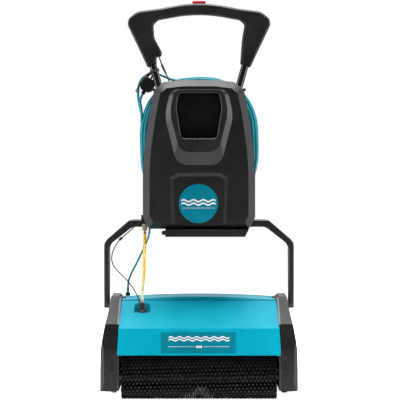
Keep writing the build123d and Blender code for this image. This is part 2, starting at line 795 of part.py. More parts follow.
def make_tube_space():
    points = [(tube_low_x, pivot_y, tube_bend_z - 40), (tube_low_x, pivot_y, tube_bend_z),
              (tube_line_x(tube_top_z), pivot_y, tube_top_z)]
    return tube_along(points, [39 / math.tan(math.radians(tube_lean / 2))], tube_radius)


def half_of(shape, front):
    span = 400.0
    y0, y1 = (pivot_y - span, pivot_y) if front else (pivot_y, pivot_y + span)
    return shape & box_between(-span, span, y0, y1, 0, 3 * span)


def make_grip_screws():
    screws = []
    rear = pivot_y + grip_half_depth
    for x, z in ((-188.0, 1082.0), (188.0, 1082.0), (-80.0, 1107.0), (80.0, 1107.0), (-120.0, 996.0)):
        screw = cylinder_y(x, pivot_y - 8, rear - 6, z, 2.0)
        screws.append(screw + cylinder_y(x, rear - 9, rear - 6, z, 3.6))
    return screws


def cut_for_screws(shape):
    rear = pivot_y + grip_half_depth
    for screw in make_grip_screws():
        shape -= screw
        head = screw.bounding_box()
        shape -= cylinder_y(head.center().X, rear - 6, rear + 1, head.center().Z, 3.6)
    return shape


def make_switch():
    half = switch_length / 2
    key = box_between(-half, half, pivot_y - switch_width / 2, pivot_y + switch_width / 2,
                      switch_top_z - switch_height, switch_top_z)
    key = chamfer(key.faces().sort_by(Axis.Z)[-1].edges(), 2)
    inner_half = switch_width / 2 - 3
    return key - box_between(-half + 3, half - 3, pivot_y - inner_half, pivot_y + inner_half,
                             switch_top_z - switch_height - 1, switch_top_z - 4)


def solution_outline():
    return both_sides([(45, 900.5), (100, 894), (127, 871), (141, 801), (155, 700), (158.5, 640),
                       (158.5, 512), (141, solution_low_z)])


def make_cradle():
    low, seat = cradle_low_z, solution_low_z - seat_gap
    front, rear = solution_front_y + 4, -cradle_plate
    plate = box_between(-cradle_half_width, cradle_half_width, rear, 0, low, cradle_plate_top_z)
    tray_outline = [(-cradle_half_width, seat), (-cradle_half_width, low), (129, low), (140, seat)]
    tray = prism_y(tray_outline, front, rear + 1)
    hollow = prism_y(inset_outline(tray_outline, 4), front + 4, rear - 4)
    hollow += box_between(-cradle_half_width + 4, 124, front + 4, rear - 4, low - 1, low + 5)
    ear = box_between(-168, -cradle_half_width + 1, rear, 4, 484, 516)
    ear -= cylinder_y(coupling_x, rear - 1, 0, coupling_low_z + coupling_height - 5, 4.5)
    boss_low = box_between(50, 70, -1, 12, 530, 550)
    boss = box_between(-80, -64, -1, 10, cradle_plate_top_z - 14, cradle_plate_top_z)
    cradle = plate + tray - hollow + ear + boss + boss_low
    cradle -= box_between(-40, 40, rear - 1, 1, 560, 780)
    return cradle - cylinder_z(-60, -60, seat - 5, seat + 1, 7)


def make_pump():
    low = cradle_low_z + 1.5
    body = box_between(-40, 30, -90, -40, low, solution_low_z - seat_gap - 4)
    return body + cylinder_x(30, 62, -65, cradle_low_z + 8.5, 6)


def make_coupling():
    low, high = coupling_low_z, coupling_low_z + coupling_height
    body = cylinder_z(coupling_x, coupling_y, low, high, coupling_radius)
    body = chamfer(body.edges().group_by(Axis.Z)[-1], 2)
    body += cylinder_y(coupling_x, coupling_y, 0, high - 5, 4.5)
    return body - cylinder_y(coupling_x, coupling_y, 5, high - 5, 2.5)


def hood_base():
    return both_sides([(79, 873, 26), (97, 800, 120), (62, 660, 38)])


def hood_face():
    return both_sides([(69, 868.5, 20), (82, 808, 100), (54, 696, 34)])


def window_outline():
    return both_sides([(56, 861.5, 11), (64, 824, 80), (50, 734, 14)])


def make_tank_shell():
    shell = prism_y(solution_outline(), solution_front_y, solution_rear_y)
    shell = chamfer(shell.faces().sort_by(Axis.Y)[0].edges(), solution_bevel)
    shell = chamfer(shell.faces().sort_by(Axis.Y)[-1].edges(), 8)
    core = prism_y(inset_outline(solution_outline(), solution_wall), solution_front_y + solution_wall,
                   solution_rear_y - solution_wall)
    core = chamfer(core.faces().sort_by(Axis.Y)[0].edges(), solution_bevel - 2)
    core = chamfer(core.faces().sort_by(Axis.Y)[-1].edges(), 8)
    wall = solution_wall
    chamber = box_between(-chamber_half_width, chamber_half_width, chamber_front_y, chamber_rear_y,
                          chamber_low_z, chamber_top_z)
    chamber_skin = box_between(-chamber_half_width - wall, chamber_half_width + wall, solution_front_y,
                               chamber_rear_y + wall, chamber_low_z - wall, chamber_top_z + wall)
    mouth = rounded_prism_y(window_outline(), solution_front_y - 1, chamber_front_y + 1)
    panel = panel_outline()
    run_out = -recess_slope / front_recess
    layers = [(-1.0, run_out), (front_recess, recess_slope)]
    recess = loft([outline_face_y(inset_outline(panel, inset), solution_front_y + depth)
                   for depth, inset in layers], ruled=True)
    skin_rear = solution_front_y + front_recess + wall
    recess_skin = prism_y(inset_outline(panel, -wall), solution_front_y, skin_rear)
    core = core - chamber_skin - recess_skin
    neck = cylinder_y(0, chamber_rear_y - 12, chamber_rear_y + wall, cap_z, neck_radius)
    shell = shell - core - chamber - mouth - recess + neck
    shell -= cylinder_y(0, chamber_rear_y - 13, chamber_rear_y + wall + 1, cap_z, neck_radius - neck_wall)
    return shell - cylinder_z(-60, -60, solution_low_z - 1, solution_low_z + wall + 1, 7)


def panel_outline():
    return both_sides([(60, 637.7), (82, 624), (77, 486)])


def make_bezel():
    low = solution_front_y - hood_depth
    base = rounded_face_y(hood_base(), solution_front_y)
    bezel = loft([base, rounded_face_y(hood_face(), low)], ruled=True)
    bezel -= rounded_prism_y(window_outline(), low - 1, solution_front_y + 1)
    mouth_edge = bezel.faces().sort_by(Axis.Y)[0].inner_wires()[0].edges()
    return chamfer(mouth_edge, window_bevel)


def make_cap():
    front = chamber_rear_y - 12 - cap_wall
    rear = chamber_rear_y - cap_clearance
    cap = cylinder_y(0, front, rear, cap_z, cap_radius)
    cap -= cylinder_y(0, front + cap_wall - cap_clearance, rear + 1, cap_z, neck_radius + cap_clearance)
    cap -= cylinder_y(0, front - 1, front + 3, cap_z, cap_radius - 9) - box_between(
        -6, 6, front - 1, front + 3, cap_z - cap_radius, cap_z + cap_radius)
    return cap


def make_disc():
    rear = solution_front_y + front_recess
    return cylinder_y(-1.5, rear - disc_thickness, rear, disc_z, disc_radius)


def make_cable_hooks():
    z = 856.0
    x = tube_line_x(z)
    ring = Cylinder(tube_radius + 4, 14) - Cylinder(tube_radius, 16)
    clamp = Pos(x, pivot_y, z) * Rot(0, tube_lean, 0) * ring
    rear = coil_y + coil_bundle_radius + 7
    bend = [(106.5, pivot_y + tube_radius + 2, z), (106.5, rear, z), (134.5, rear, 886.0)]
    stem = tube_along(bend, [8], 4)
    hook = clamp + stem + Pos(134.5, rear, 886.0) * Sphere(5)
    return hook, mirrored(hook)


def make_plug_strap():
    z = 937.0
    x = -tube_line_x(z)
    ring = Cylinder(tube_radius + 3, 9) - Cylinder(tube_radius, 11)
    clamp = Pos(x, pivot_y, z) * Rot(0, -tube_lean, 0) * ring
    y = pivot_y - tube_radius - 5
    bends = [(x - 9, y + 6, z - 3), (x - 20, y, z - 10), (-171, y, 902), (-179, y, 882)]
    arm = tube_along(bends, [10, 14], 2.4)
    eye = Pos(-179, y, 878) * Rot(90, 0, 0) * (Cylinder(6, 4) - Cylinder(3, 5))
    return clamp + arm + eye


def make_fork_clip():
    body = box_between(-5, 5, -5, 5, -4, 3.6) - cylinder_x(-6, 6, 0, 0, control_cable_radius)
    return Pos(-229, 13, 446) * Rot(0, -38, 0) * body


def make_lead_gland():
    body = cylinder_z(gland_x, gland_y, 250, gland_top_z - 8, 6)
    body += cylinder_z(gland_x, gland_y, gland_top_z - 8.5, gland_top_z, 7.5)
    return body - cylinder_z(gland_x, gland_y, 249, gland_top_z - 2, motor_lead_radius - 1)


def make_mains_coil():
    """Closed outer shape of the wound cable behind the solution tank."""
    corners = [(coil_half_width, coil_y, coil_top_z), (-coil_half_width, coil_y, coil_top_z),
               (-coil_half_width, coil_y, coil_low_z), (coil_half_width, coil_y, coil_low_z)]
    path = FilletPolyline(*corners, radius=coil_corner_radius, close=True)
    start = path @ 0
    section = Plane(origin=start, z_dir=path % 0) * Circle(coil_bundle_radius)
    return sweep(section, path=path)


def make_plug():
    body = box_between(-20, 20, -13, 13, -20, 20)
    body = chamfer(body.edges().filter_by(Axis.Y), 9)
    for x, y, length in ((-10, 0, 16), (10, 0, 16), (0, 6, 18)):
        body += box_between(x - 2.5, x + 2.5, y - 2, y + 2, -20 - length, -19)
    body += Pos(0, 0, 24) * Cylinder(6, 12)
    return Pos(-152, 44, 898) * Rot(0, 208, 0) * body


# Cord routes, each from its first fitting to its second
mains_lead_route = [(60, 12, 540), (60, 26, 540), (57.5, 39, 539), (50, 49, 537), (39, 54.5, 535),
                    (25, 54.5, 534)]
mains_loop_route = [(-163, 53, 790), (-170, 55, 815), (-177, 58, 841), (-181, 61, 868), (-180, 62, 895),
                    (-171, 62, 918), (-152, 62, 931), (-128, 60, 933), (-104, 57, 925), (-82, 53.5, 914),
                    (-58, 53, 911)]
mains_tail_route = [(-166.1, 44, 871.5), (-172.7, 44, 859.1), (-174, 46, 845), (-169, 49, 831),
                    (-161.5, 51, 818)]
motor_lead_route = [(-144, -0.5, 484), (-144, -0.5, 464), (-151, 3, 441), (-162, 10, 416),
                    (-174.5, 20, 391), (-187, 34, 366), (-199, 52, 344), (-208.5, 70, 323),
                    (gland_x, gland_y, 302), (gland_x, gland_y, gland_top_z)]
hose_route = [(coupling_x, coupling_y, coupling_low_z), (coupling_x, coupling_y, 457), (-157.3, -18, 441),
              (-156.8, -33, 427), (-155.8, -61, 422), (-154.5, -92, 422), (-153.2, -123, 419),
              (-152.3, -147, 407), (-152, -159, 384), (-153, -151, 358), (-155, -132, 339),
              (-158, -112, 321), (inlet_x, inlet_y, 301), (inlet_x, inlet_y, inlet_top_z)]
control_cable_route = [(-168, -1, 497), (-177, -1.5, 491), (-190, -1, 480), (-204, 4, 467), (-217, 10, 456),
                       (-229, 13, 446), (-243, 8, 427), (-251, -6, 409), (-253, -26, 393), (-249, -49, 379),
                       (-239, -72, 366), (-223, -94, 353), (-205, -111, 338), (-189, -119, 319),
                       (-178, -113, 300), (-171.5, -98, 284), (-168, -83, 268),
                       (cable_hole_x, cable_hole_y, 255), (cable_hole_x, cable_hole_y, inlet_floor_z)]
switch_cable_route = [(-117, 20, 978.4), (-110, 20, 957), (-99, 18, 934), (-89, 14, 911), (-80, 9, 890),
                      (-73, 5.5, 870), (-72, 5, cradle_plate_top_z)]

save("chassis_plates", make_right_plate(), mirrored(make_chassis_plate()))
save("cross_rails", *make_cross_rails())
save("front_cover", make_front_cover())
save("rear_cover", make_rear_cover())
save("side_cover_right", make_side_cover())
save("side_cover_left", mirrored(make_side_cover()))
save("brush_latch_right", make_latch())
save("brush_latch_left", mirrored(make_latch()))
save("latch_springs", *make_latch_springs())
save("shaft_bearings", *make_bearings())
save("drive_belts", *make_drive_belts())
save("drive_motor", make_motor())
save("motor_shaft", make_motor_shaft())
save("counter_gear", make_counter_gear())
save("front_brush_core", make_brush_core(*front_axis))
save("front_brush_bristles", make_bristles(*front_axis))
save("front_brush_pulleys", make_pulley(1, front_axis, large_belt_radius, shaft_radius),
     make_pulley(-1, front_axis, drum_belt_radius, shaft_radius))
save("rear_brush_core", make_brush_core(*rear_axis))
save("rear_brush_bristles", make_bristles(*rear_axis))
save("rear_brush_pulley", make_pulley(1, rear_axis, large_belt_radius, shaft_radius))
save("conveyor_drum", make_drum())
save("drum_pulley", make_pulley(-1, drum_axis, drum_belt_radius, shaft_radius))
save("recovery_tank", make_recovery_tank())
save("recovery_lid", make_recovery_lid())
save("inlet_spigot", make_inlet())
save("spray_bar", make_spray_bar())
save("label_plate", make_label_plate())
save("lead_gland", make_lead_gland())
save("cover_screws", *make_cover_screws())
save("pivot_pins", make_pivot_pin(), mirrored(make_pivot_pin()))
save("foot_left", mirrored(make_foot()))
save("foot_right", make_foot())
save("fork", make_fork())
save("pivot_bushes", make_bush(), mirrored(make_bush()))
save("handle_tube_right", make_handle_tube())
save("handle_tube_left", mirrored(make_handle_tube()))
save("tube_clamps", *make_tube_clamps())
save("cradle", make_cradle())
save("solution_pump", make_pump())
save("hose_coupling", make_coupling())
grip = make_grip()
save("grip_front", cut_for_screws(half_of(grip, True)))
save("grip_rear", cut_for_screws(half_of(grip, False)))
save("grip_screws", *make_grip_screws())
save("start_switch", make_switch())
save("cable_hooks", *make_cable_hooks())
save("plug_strap", make_plug_strap())
save("fork_clip", make_fork_clip())
save("solution_tank", make_tank_shell())
save("window_bezel", make_bezel())
save("filler_cap", make_cap())
save("emblem_disc", make_disc())
save("mains_coil", make_mains_coil())
save("mains_plug", make_plug())
save("mains_lead", cord_tube("mains_lead", mains_lead_route, mains_radius))
save("mains_loop", cord_tube("mains_loop", mains_loop_route, mains_radius))
save("mains_tail", cord_tube("mains_tail", mains_tail_route, mains_radius))
save("motor_lead", cord_tube("motor_lead", motor_lead_route, motor_lead_radius))
save("solution_hose", cord_tube("solution_hose", hose_route, hose_radius))
save("control_cable", cord_tube("control_cable", control_cable_route, control_cable_radius))
save("switch_cable", cord_tube("switch_cable", switch_cable_route, switch_cable_radius))
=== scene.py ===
import math
import random
import bmesh
import bpy
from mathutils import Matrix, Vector


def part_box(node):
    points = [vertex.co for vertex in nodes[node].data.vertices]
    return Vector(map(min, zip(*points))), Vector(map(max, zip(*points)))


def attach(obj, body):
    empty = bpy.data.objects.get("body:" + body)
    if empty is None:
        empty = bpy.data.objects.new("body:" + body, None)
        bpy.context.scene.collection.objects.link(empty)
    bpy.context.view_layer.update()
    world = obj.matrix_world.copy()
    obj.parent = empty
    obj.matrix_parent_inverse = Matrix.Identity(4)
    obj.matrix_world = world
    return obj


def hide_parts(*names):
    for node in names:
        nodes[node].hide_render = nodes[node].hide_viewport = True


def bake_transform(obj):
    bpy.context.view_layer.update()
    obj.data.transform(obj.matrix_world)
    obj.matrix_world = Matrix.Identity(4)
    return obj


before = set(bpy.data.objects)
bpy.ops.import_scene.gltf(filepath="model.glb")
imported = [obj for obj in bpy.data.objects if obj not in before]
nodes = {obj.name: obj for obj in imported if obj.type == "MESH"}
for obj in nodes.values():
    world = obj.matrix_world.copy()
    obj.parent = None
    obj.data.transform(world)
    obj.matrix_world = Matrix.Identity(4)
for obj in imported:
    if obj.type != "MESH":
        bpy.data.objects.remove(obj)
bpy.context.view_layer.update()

random.seed(27)
mm = 0.001


# helpers

def srgb(red, green, blue):
    # screen colour, 0 to 255, as the linear colour that shaders take
    def linear(value):
        value /= 255
        return value / 12.92 if value <= 0.04045 else ((value + 0.055) / 1.055) ** 2.4
    return (linear(red), linear(green), linear(blue), 1.0)


def metres(route):
    return [Vector(point) * mm for point in route]


def addToScene(obj):
    bpy.context.scene.collection.objects.link(obj)
    return obj


def meshPiece(name, verts, faces, smooth=True):
    mesh = bpy.data.meshes.new(name)
    mesh.from_pydata([tuple(v) for v in verts], [], faces)
    mesh.update()
    for polygon in mesh.polygons:
        polygon.use_smooth = smooth
    return addToScene(bpy.data.objects.new(name, mesh))


def bmeshPiece(name, build, smooth=True):
    bm = bmesh.new()
    build(bm)
    bmesh.ops.recalc_face_normals(bm, faces=bm.faces)
    mesh = bpy.data.meshes.new(name)
    bm.to_mesh(mesh)
    bm.free()
    for polygon in mesh.polygons:
        polygon.use_smooth = smooth
    return addToScene(bpy.data.objects.new(name, mesh))


def roundEdges(obj, width, segments, angle):
    bevel = obj.modifiers.new("round", "BEVEL")
    bevel.width = width
    bevel.segments = segments
    bevel.limit_method = "ANGLE"
    bevel.angle_limit = math.radians(angle)
    bevel.harden_normals = False


def finish(obj, material, body=None):
    obj.data.materials.clear()
    obj.data.materials.append(material)
    if body:
        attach(obj, body)
    return obj


# camera

viewing = {"distance": 3.5, "height": 0.62, "lens": 108.2, "sensor": 36, "shiftX": 0.0025, "shiftY": -0.052}


def makeCamera():
    data = bpy.data.cameras.new("camera")
    data.sensor_width = viewing["sensor"]
    data.lens = viewing["lens"]
    data.shift_x = viewing["shiftX"]
    data.shift_y = viewing["shiftY"]
    camera = addToScene(bpy.data.objects.new("camera", data))
    camera.location = (0, -viewing["distance"], viewing["height"])
    camera.rotation_euler = (math.radians(90), 0, 0)
    bpy.context.scene.camera = camera


makeCamera()
print("camera ready")


# cords: routes as the CAD part has them

def splineCurve(name, points, steps):
    data = bpy.data.curves.new(name, "CURVE")
    data.dimensions = "3D"
    data.resolution_u = steps
    spline = data.splines.new("NURBS")
    spline.points.add(len(points) - 1)
    for place, point in zip(spline.points, points):
        place.co = (*point, 1)
    spline.order_u = 3
    spline.use_endpoint_u = True
    return addToScene(bpy.data.objects.new(name, data))


def splinePoints(points, steps=10):
    curve = splineCurve("guide", points, steps)
    bpy.context.view_layer.update()
    mesh = bpy.data.meshes.new_from_object(curve)
    line = [vert.co.copy() for vert in mesh.vertices]
    bpy.data.meshes.remove(mesh)
    bpy.data.objects.remove(curve)
    return line


def ringFrames(line):
    # one direction across the line at each point, carried along without twist
    across = Vector((0, 0, 1)).cross(line[1] - line[0])
    if across.length < 1e-9:
        across = Vector((1, 0, 0))
    frames = []
    for number, point in enumerate(line):
        ahead = line[min(number + 1, len(line) - 1)] - line[max(number - 1, 0)]
        ahead.normalize()
        across = (across - ahead * across.dot(ahead)).normalized()
        frames.append((point, across.copy(), ahead.cross(across)))
    return frames


def tubePiece(name, line, radiusAt, sides):
    # a closed tube whose radius may change along its length
    verts, faces = [], []
    distance = 0.0
    for number, (point, across, up) in enumerate(ringFrames(line)):
        if number:
            distance += (point - line[number - 1]).length
        radius = radiusAt(distance) if callable(radiusAt) else radiusAt
        for side in range(sides):
            turn = 2 * math.pi * side / sides
            verts.append(point + (across * math.cos(turn) + up * math.sin(turn)) * radius)
    for ring in range(len(line) - 1):
        for side in range(sides):
            after = (side + 1) % sides
            faces.append((ring * sides + side, ring * sides + after,
                          (ring + 1) * sides + after, (ring + 1) * sides + side))
    faces.append(tuple(range(sides))[::-1])
    faces.append(tuple(range((len(line) - 1) * sides, len(line) * sides)))
    return meshPiece(name, verts, faces)


coilShape = {"turns": 8, "pointsPerTurn": 16, "halfWidth": 163, "top": 911, "low": 534, "corner": 134,
             "depth": 53, "ring": 8.9, "looseTurn": 5, "looseFrom": 0.28, "looseTo": 0.475,
             "begin": 0.056, "beyond": 0.235, "slideFrom": 0.86, "slideOver": 0.14,
             "slack": 5.0, "leastSlack": 0.2, "hangBelow": 150, "hangOver": 230, "waves": 6.0}
cordRadius = {"mains": 3.75, "motor": 3.0, "hose": 4.5, "control": 1.7, "switch": 2.0}
cordSides = {"motor": 14, "hose": 20, "control": 10}
cordRoundness = 3
leadRoute = [(60, 12, 540), (60, 26, 540), (57.5, 39, 539), (50, 49, 537), (39, 54.5, 535), (25, 54.5, 534)]
loopRoute = [(-163, 53, 790), (-170, 55, 815), (-177, 58, 841), (-181, 61, 868), (-180, 62, 895),
             (-171, 62, 918), (-152, 62, 931), (-128, 60, 933), (-104, 57, 925), (-82, 53.5, 914),
             (-58, 53, 911)]
tailRoute = [(-161.5, 51, 818), (-169, 49, 831), (-174, 46, 845), (-172.7, 44, 859.1), (-166.1, 44, 871.5)]
motorLeadRoute = [(-144, -0.5, 484), (-144, -0.5, 464), (-151, 3, 441), (-162, 10, 416),
                  (-174.5, 20, 391), (-187, 34, 366), (-199, 52, 344), (-208.5, 70, 323),
                  (-212, 84, 302), (-212, 84, 282)]
hoseRoute = [(-157.5, -13, 472), (-157.5, -13, 457), (-157.3, -18, 441),
             (-156.8, -33, 427), (-155.8, -61, 422), (-154.5, -92, 422), (-153.2, -123, 419),
             (-152.3, -147, 407), (-152, -159, 384), (-153, -151, 358), (-155, -132, 339),
             (-158, -112, 321), (-161, -92, 301), (-161, -92, 270)]
controlRoute = [(-168, -1, 497), (-177, -1.5, 491), (-190, -1, 480), (-204, 4, 467), (-217, 10, 456),
                (-229, 13, 446), (-243, 8, 427), (-251, -6, 409), (-253, -26, 393), (-249, -49, 379),
                (-239, -72, 366), (-223, -94, 353), (-205, -111, 338), (-189, -119, 319),
                (-178, -113, 300), (-171.5, -98, 284), (-168, -83, 268),
                (-168, -77, 255), (-168, -77, 243)]
switchRoute = [(-117, 20, 978.4), (-110, 20, 957), (-99, 18, 934), (-89, 14, 911), (-80, 9, 890),
               (-73, 5.5, 870), (-72, 5, 850)]


def coilSpot(share):
    # place on the coil's middle line and its outward direction; share runs clockwise from bottom centre
    corner = coilShape["corner"]
    half = coilShape["halfWidth"] - corner
    rise = (coilShape["top"] - coilShape["low"]) / 2 - corner
    middle = (coilShape["top"] + coilShape["low"]) / 2
    arc = math.pi * corner / 2
    runs = [half, arc, 2 * rise, arc, 2 * half, arc, 2 * rise, arc, half]
    straights = [((0, -rise - corner), (-1, 0)), ((-half - corner, -rise), (0, 1)),
                 ((-half, rise + corner), (1, 0)), ((half + corner, rise), (0, -1)),
                 ((half, -rise - corner), (-1, 0))]
    corners = [((-half, -rise), 270), ((-half, rise), 180), ((half, rise), 90), ((half, -rise), 0)]
    left = (share % 1) * sum(runs)
    number = 0
    while left > runs[number] and number < len(runs) - 1:
        left -= runs[number]
        number += 1
    if number % 2:
        (x, z), heading = corners[number // 2]
        turn = math.radians(heading) - left / corner
        out = (math.cos(turn), math.sin(turn))
        return x + corner * out[0], middle + z + corner * out[1], out
    (x, z), (dx, dz) = straights[number // 2]
    return x + dx * left, middle + z + dz * left, (-dz, dx)


def bundleSlot(turn):
    # where a turn lies in the bundle: one in the middle and the rest round it
    if turn < 0.5:
        return 0.0, 0.0
    angle = 2 * math.pi * (turn - 1) / (coilShape["turns"] - 1)
    return coilShape["ring"] * math.cos(angle), coilShape["ring"] * math.sin(angle)


def coilPoints():
    points = []
    turns = coilShape["turns"]
    wander = [random.uniform(0, 2 * math.pi) for _ in range(turns)]
    begin, last = coilShape["begin"], turns + coilShape["beyond"]
    count = round((last - begin) * coilShape["pointsPerTurn"])
    looseDone = False
    for step in range(count + 1):
        along = begin + (last - begin) * step / count
        turn = min(int(along), turns - 1)
        share = along - turn
        if turn == coilShape["looseTurn"] and coilShape["looseFrom"] < share < coilShape["looseTo"]:
            if not looseDone:
                points += metres(loopRoute)
                looseDone = True
            continue
        slide = min(1.0, max(0.0, (share - coilShape["slideFrom"]) / coilShape["slideOver"]))
        if turn == turns - 1:
            slide = 0.0
        here, after = bundleSlot(turn), bundleSlot(turn + 1)
        x, z, away = coilSpot(share)
        hang = max(0.0, (coilShape["top"] - coilShape["hangBelow"] - z) / coilShape["hangOver"])
        sway = math.sin(share * coilShape["waves"] + wander[turn])
        loose = coilShape["slack"] * (coilShape["leastSlack"] + hang) * sway
        out = here[0] + (after[0] - here[0]) * slide + loose
        deep = here[1] + (after[1] - here[1]) * slide
        points.append(Vector((x + away[0] * out, coilShape["depth"] + deep, z + away[1] * out)) * mm)
    return points


def makeMainsCable():
    points = metres(leadRoute) + coilPoints() + metres(tailRoute)[1:]
    cable = splineCurve("mainsCable", points, 6)
    cable.data.bevel_depth = cordRadius["mains"] * mm
    cable.data.bevel_resolution = cordRoundness
    cable.data.use_fill_caps = True
    return cable


mainsCable = makeMainsCable()
motorLeadLine = splinePoints(metres(motorLeadRoute))
hoseLine = splinePoints(metres(hoseRoute))
controlLine = splinePoints(metres(controlRoute))
switchLine = splinePoints(metres(switchRoute))
motorLead = tubePiece("motorLead", motorLeadLine, cordRadius["motor"] * mm, cordSides["motor"])
solutionHose = tubePiece("solutionHose", hoseLine, cordRadius["hose"] * mm, cordSides["hose"])
controlCable = tubePiece("controlCable", controlLine, cordRadius["control"] * mm, cordSides["control"])
switchCable = splineCurve("switchCable", metres(switchRoute), 8)
switchCable.data.bevel_depth = cordRadius["switch"] * mm
switchCable.data.bevel_resolution = cordRoundness
print("cords laid")


# shader groups shared by the finishes

def newGroup(name, inputs, outputs):
    tree = bpy.data.node_groups.new(name, "ShaderNodeTree")
    for title, value in inputs.items():
        socket = tree.interface.new_socket(title, in_out="INPUT", socket_type="NodeSocketFloat")
        socket.default_value = value
    for title in outputs:
        tree.interface.new_socket(title, in_out="OUTPUT", socket_type="NodeSocketFloat")
    return tree, tree.nodes.new("NodeGroupInput"), tree.nodes.new("NodeGroupOutput")


def mathNode(tree, operation, first, second=None, clamp=False):
    node = tree.nodes.new("ShaderNodeMath")
    node.operation = operation
    node.use_clamp = clamp
    for socket, value in zip(node.inputs, (first, second)):
        if hasattr(value, "is_linked"):
            tree.links.new(value, socket)
        elif value is not None:
            socket.default_value = value
    return node.outputs[0]


def textureNode(tree, kind, scale, vector, **settings):
    node = tree.nodes.new(kind)
    tree.links.new(vector, node.inputs["Vector"])
    if hasattr(scale, "is_linked"):
        tree.links.new(scale, node.inputs["Scale"])
    else:
        node.inputs["Scale"].default_value = scale
    for title, value in settings.items():
        node.inputs[title].default_value = value
    return node


def rangeNode(tree, value, low, high, toLow=0.0, toHigh=1.0):
    node = tree.nodes.new("ShaderNodeMapRange")
    tree.links.new(value, node.inputs["Value"])
    for title, number in (("From Min", low), ("From Max", high), ("To Min", toLow), ("To Max", toHigh)):
        node.inputs[title].default_value = number
    return node.outputs["Result"]


grainShape = {"cells": 0.6, "waves": 0.5, "slowScale": 14.0, "tone": (0.3, 0.7)}
wearShape = {"samples": 4, "edge": (0.015, 0.20), "patchScale": 90.0, "patches": (0.42, 0.66)}
dustShape = {"facing": (0.1, 1.0), "cloudScale": 38.0, "cloud": (0.35, 0.75), "speckScale": 900.0,
             "specks": (0.66, 0.80)}
scratchShape = {"turned": (0.4, 0.3, 0.9), "stretched": (1.0, 14.0, 9.0), "rubbed": (0.62, 0.72)}


def makeGrainGroup():
    # pebbled moulding texture: fine cells over softer waves, with a slow tone change
    tree, start, end = newGroup("mouldGrain", {"Scale": 700.0}, ["Height", "Tone"])
    place = tree.nodes.new("ShaderNodeTexCoord").outputs["Object"]
    cells = textureNode(tree, "ShaderNodeTexVoronoi", start.outputs["Scale"], place)
    waves = textureNode(tree, "ShaderNodeTexNoise", start.outputs["Scale"], place, Detail=3.0)
    slow = textureNode(tree, "ShaderNodeTexNoise", grainShape["slowScale"], place, Detail=4.0)
    height = mathNode(tree, "ADD", mathNode(tree, "MULTIPLY", cells.outputs["Distance"], grainShape["cells"]),
                      mathNode(tree, "MULTIPLY", waves.outputs["Fac"], grainShape["waves"]))
    tree.links.new(height, end.inputs["Height"])
    tree.links.new(rangeNode(tree, slow.outputs["Fac"], *grainShape["tone"]), end.inputs["Tone"])
    return tree


def makeWearGroup():
    # worn edges: where a rounded normal leaves the true one, broken up by noise
    tree, start, end = newGroup("edgeWear", {"Reach": 0.002, "Amount": 1.0}, ["Mask"])
    place = tree.nodes.new("ShaderNodeTexCoord").outputs["Object"]
    rounded = tree.nodes.new("ShaderNodeBevel")
    rounded.samples = wearShape["samples"]
    tree.links.new(start.outputs["Reach"], rounded.inputs["Radius"])
    flat = tree.nodes.new("ShaderNodeNewGeometry")
    dot = tree.nodes.new("ShaderNodeVectorMath")
    dot.operation = "DOT_PRODUCT"
    tree.links.new(rounded.outputs["Normal"], dot.inputs[0])
    tree.links.new(flat.outputs["Normal"], dot.inputs[1])
    edge = rangeNode(tree, mathNode(tree, "SUBTRACT", 1.0, dot.outputs["Value"]), *wearShape["edge"])
    patches = textureNode(tree, "ShaderNodeTexNoise", wearShape["patchScale"], place, Detail=5.0)
    broken = rangeNode(tree, patches.outputs["Fac"], *wearShape["patches"])
    mask = mathNode(tree, "MULTIPLY", mathNode(tree, "MULTIPLY", edge, broken), start.outputs["Amount"])
    tree.links.new(mask, end.inputs["Mask"])
    return tree


def makeDustGroup():
    # pale dust that settles on faces that look up
    tree, start, end = newGroup("settledDust", {"Amount": 0.3}, ["Mask"])
    place = tree.nodes.new("ShaderNodeTexCoord").outputs["Object"]
    flat = tree.nodes.new("ShaderNodeNewGeometry")
    split = tree.nodes.new("ShaderNodeSeparateXYZ")
    tree.links.new(flat.outputs["Normal"], split.inputs[0])
    facing = rangeNode(tree, split.outputs["Z"], *dustShape["facing"])
    cloud = textureNode(tree, "ShaderNodeTexNoise", dustShape["cloudScale"], place, Detail=6.0)
    specks = textureNode(tree, "ShaderNodeTexNoise", dustShape["speckScale"], place, Detail=1.0)
    spread = mathNode(tree, "ADD", rangeNode(tree, cloud.outputs["Fac"], *dustShape["cloud"]),
                      rangeNode(tree, specks.outputs["Fac"], *dustShape["specks"]))
    mask = mathNode(tree, "MULTIPLY", mathNode(tree, "MULTIPLY", facing, spread), start.outputs["Amount"])
    tree.links.new(mathNode(tree, "MINIMUM", mask, 1.0), end.inputs["Mask"])
    return tree


def makeScratchGroup():
    # thin rubbed lines, as a mask
    tree, start, end = newGroup("rubbedLines", {"Scale": 60.0, "Amount": 1.0}, ["Mask"])
    place = tree.nodes.new("ShaderNodeTexCoord").outputs["Object"]
    stretch = tree.nodes.new("ShaderNodeMapping")
    stretch.inputs["Rotation"].default_value = scratchShape["turned"]
    stretch.inputs["Scale"].default_value = scratchShape["stretched"]
    tree.links.new(place, stretch.inputs["Vector"])
    lines = textureNode(tree, "ShaderNodeTexNoise", start.outputs["Scale"], stretch.outputs[0], Detail=2.0)
    rubbed = rangeNode(tree, lines.outputs["Fac"], *scratchShape["rubbed"])
    mask = mathNode(tree, "MULTIPLY", rubbed, start.outputs["Amount"])
    tree.links.new(mask, end.inputs["Mask"])
    return tree


grainGroup = makeGrainGroup()
wearGroup = makeWearGroup()
dustGroup = makeDustGroup()
scratchGroup = makeScratchGroup()
print("shader groups ready")


# finishes

def groupIn(tree, group, **values):
    node = tree.nodes.new("ShaderNodeGroup")
    node.node_tree = group
    for title, value in values.items():
        node.inputs[title].default_value = value
    return node


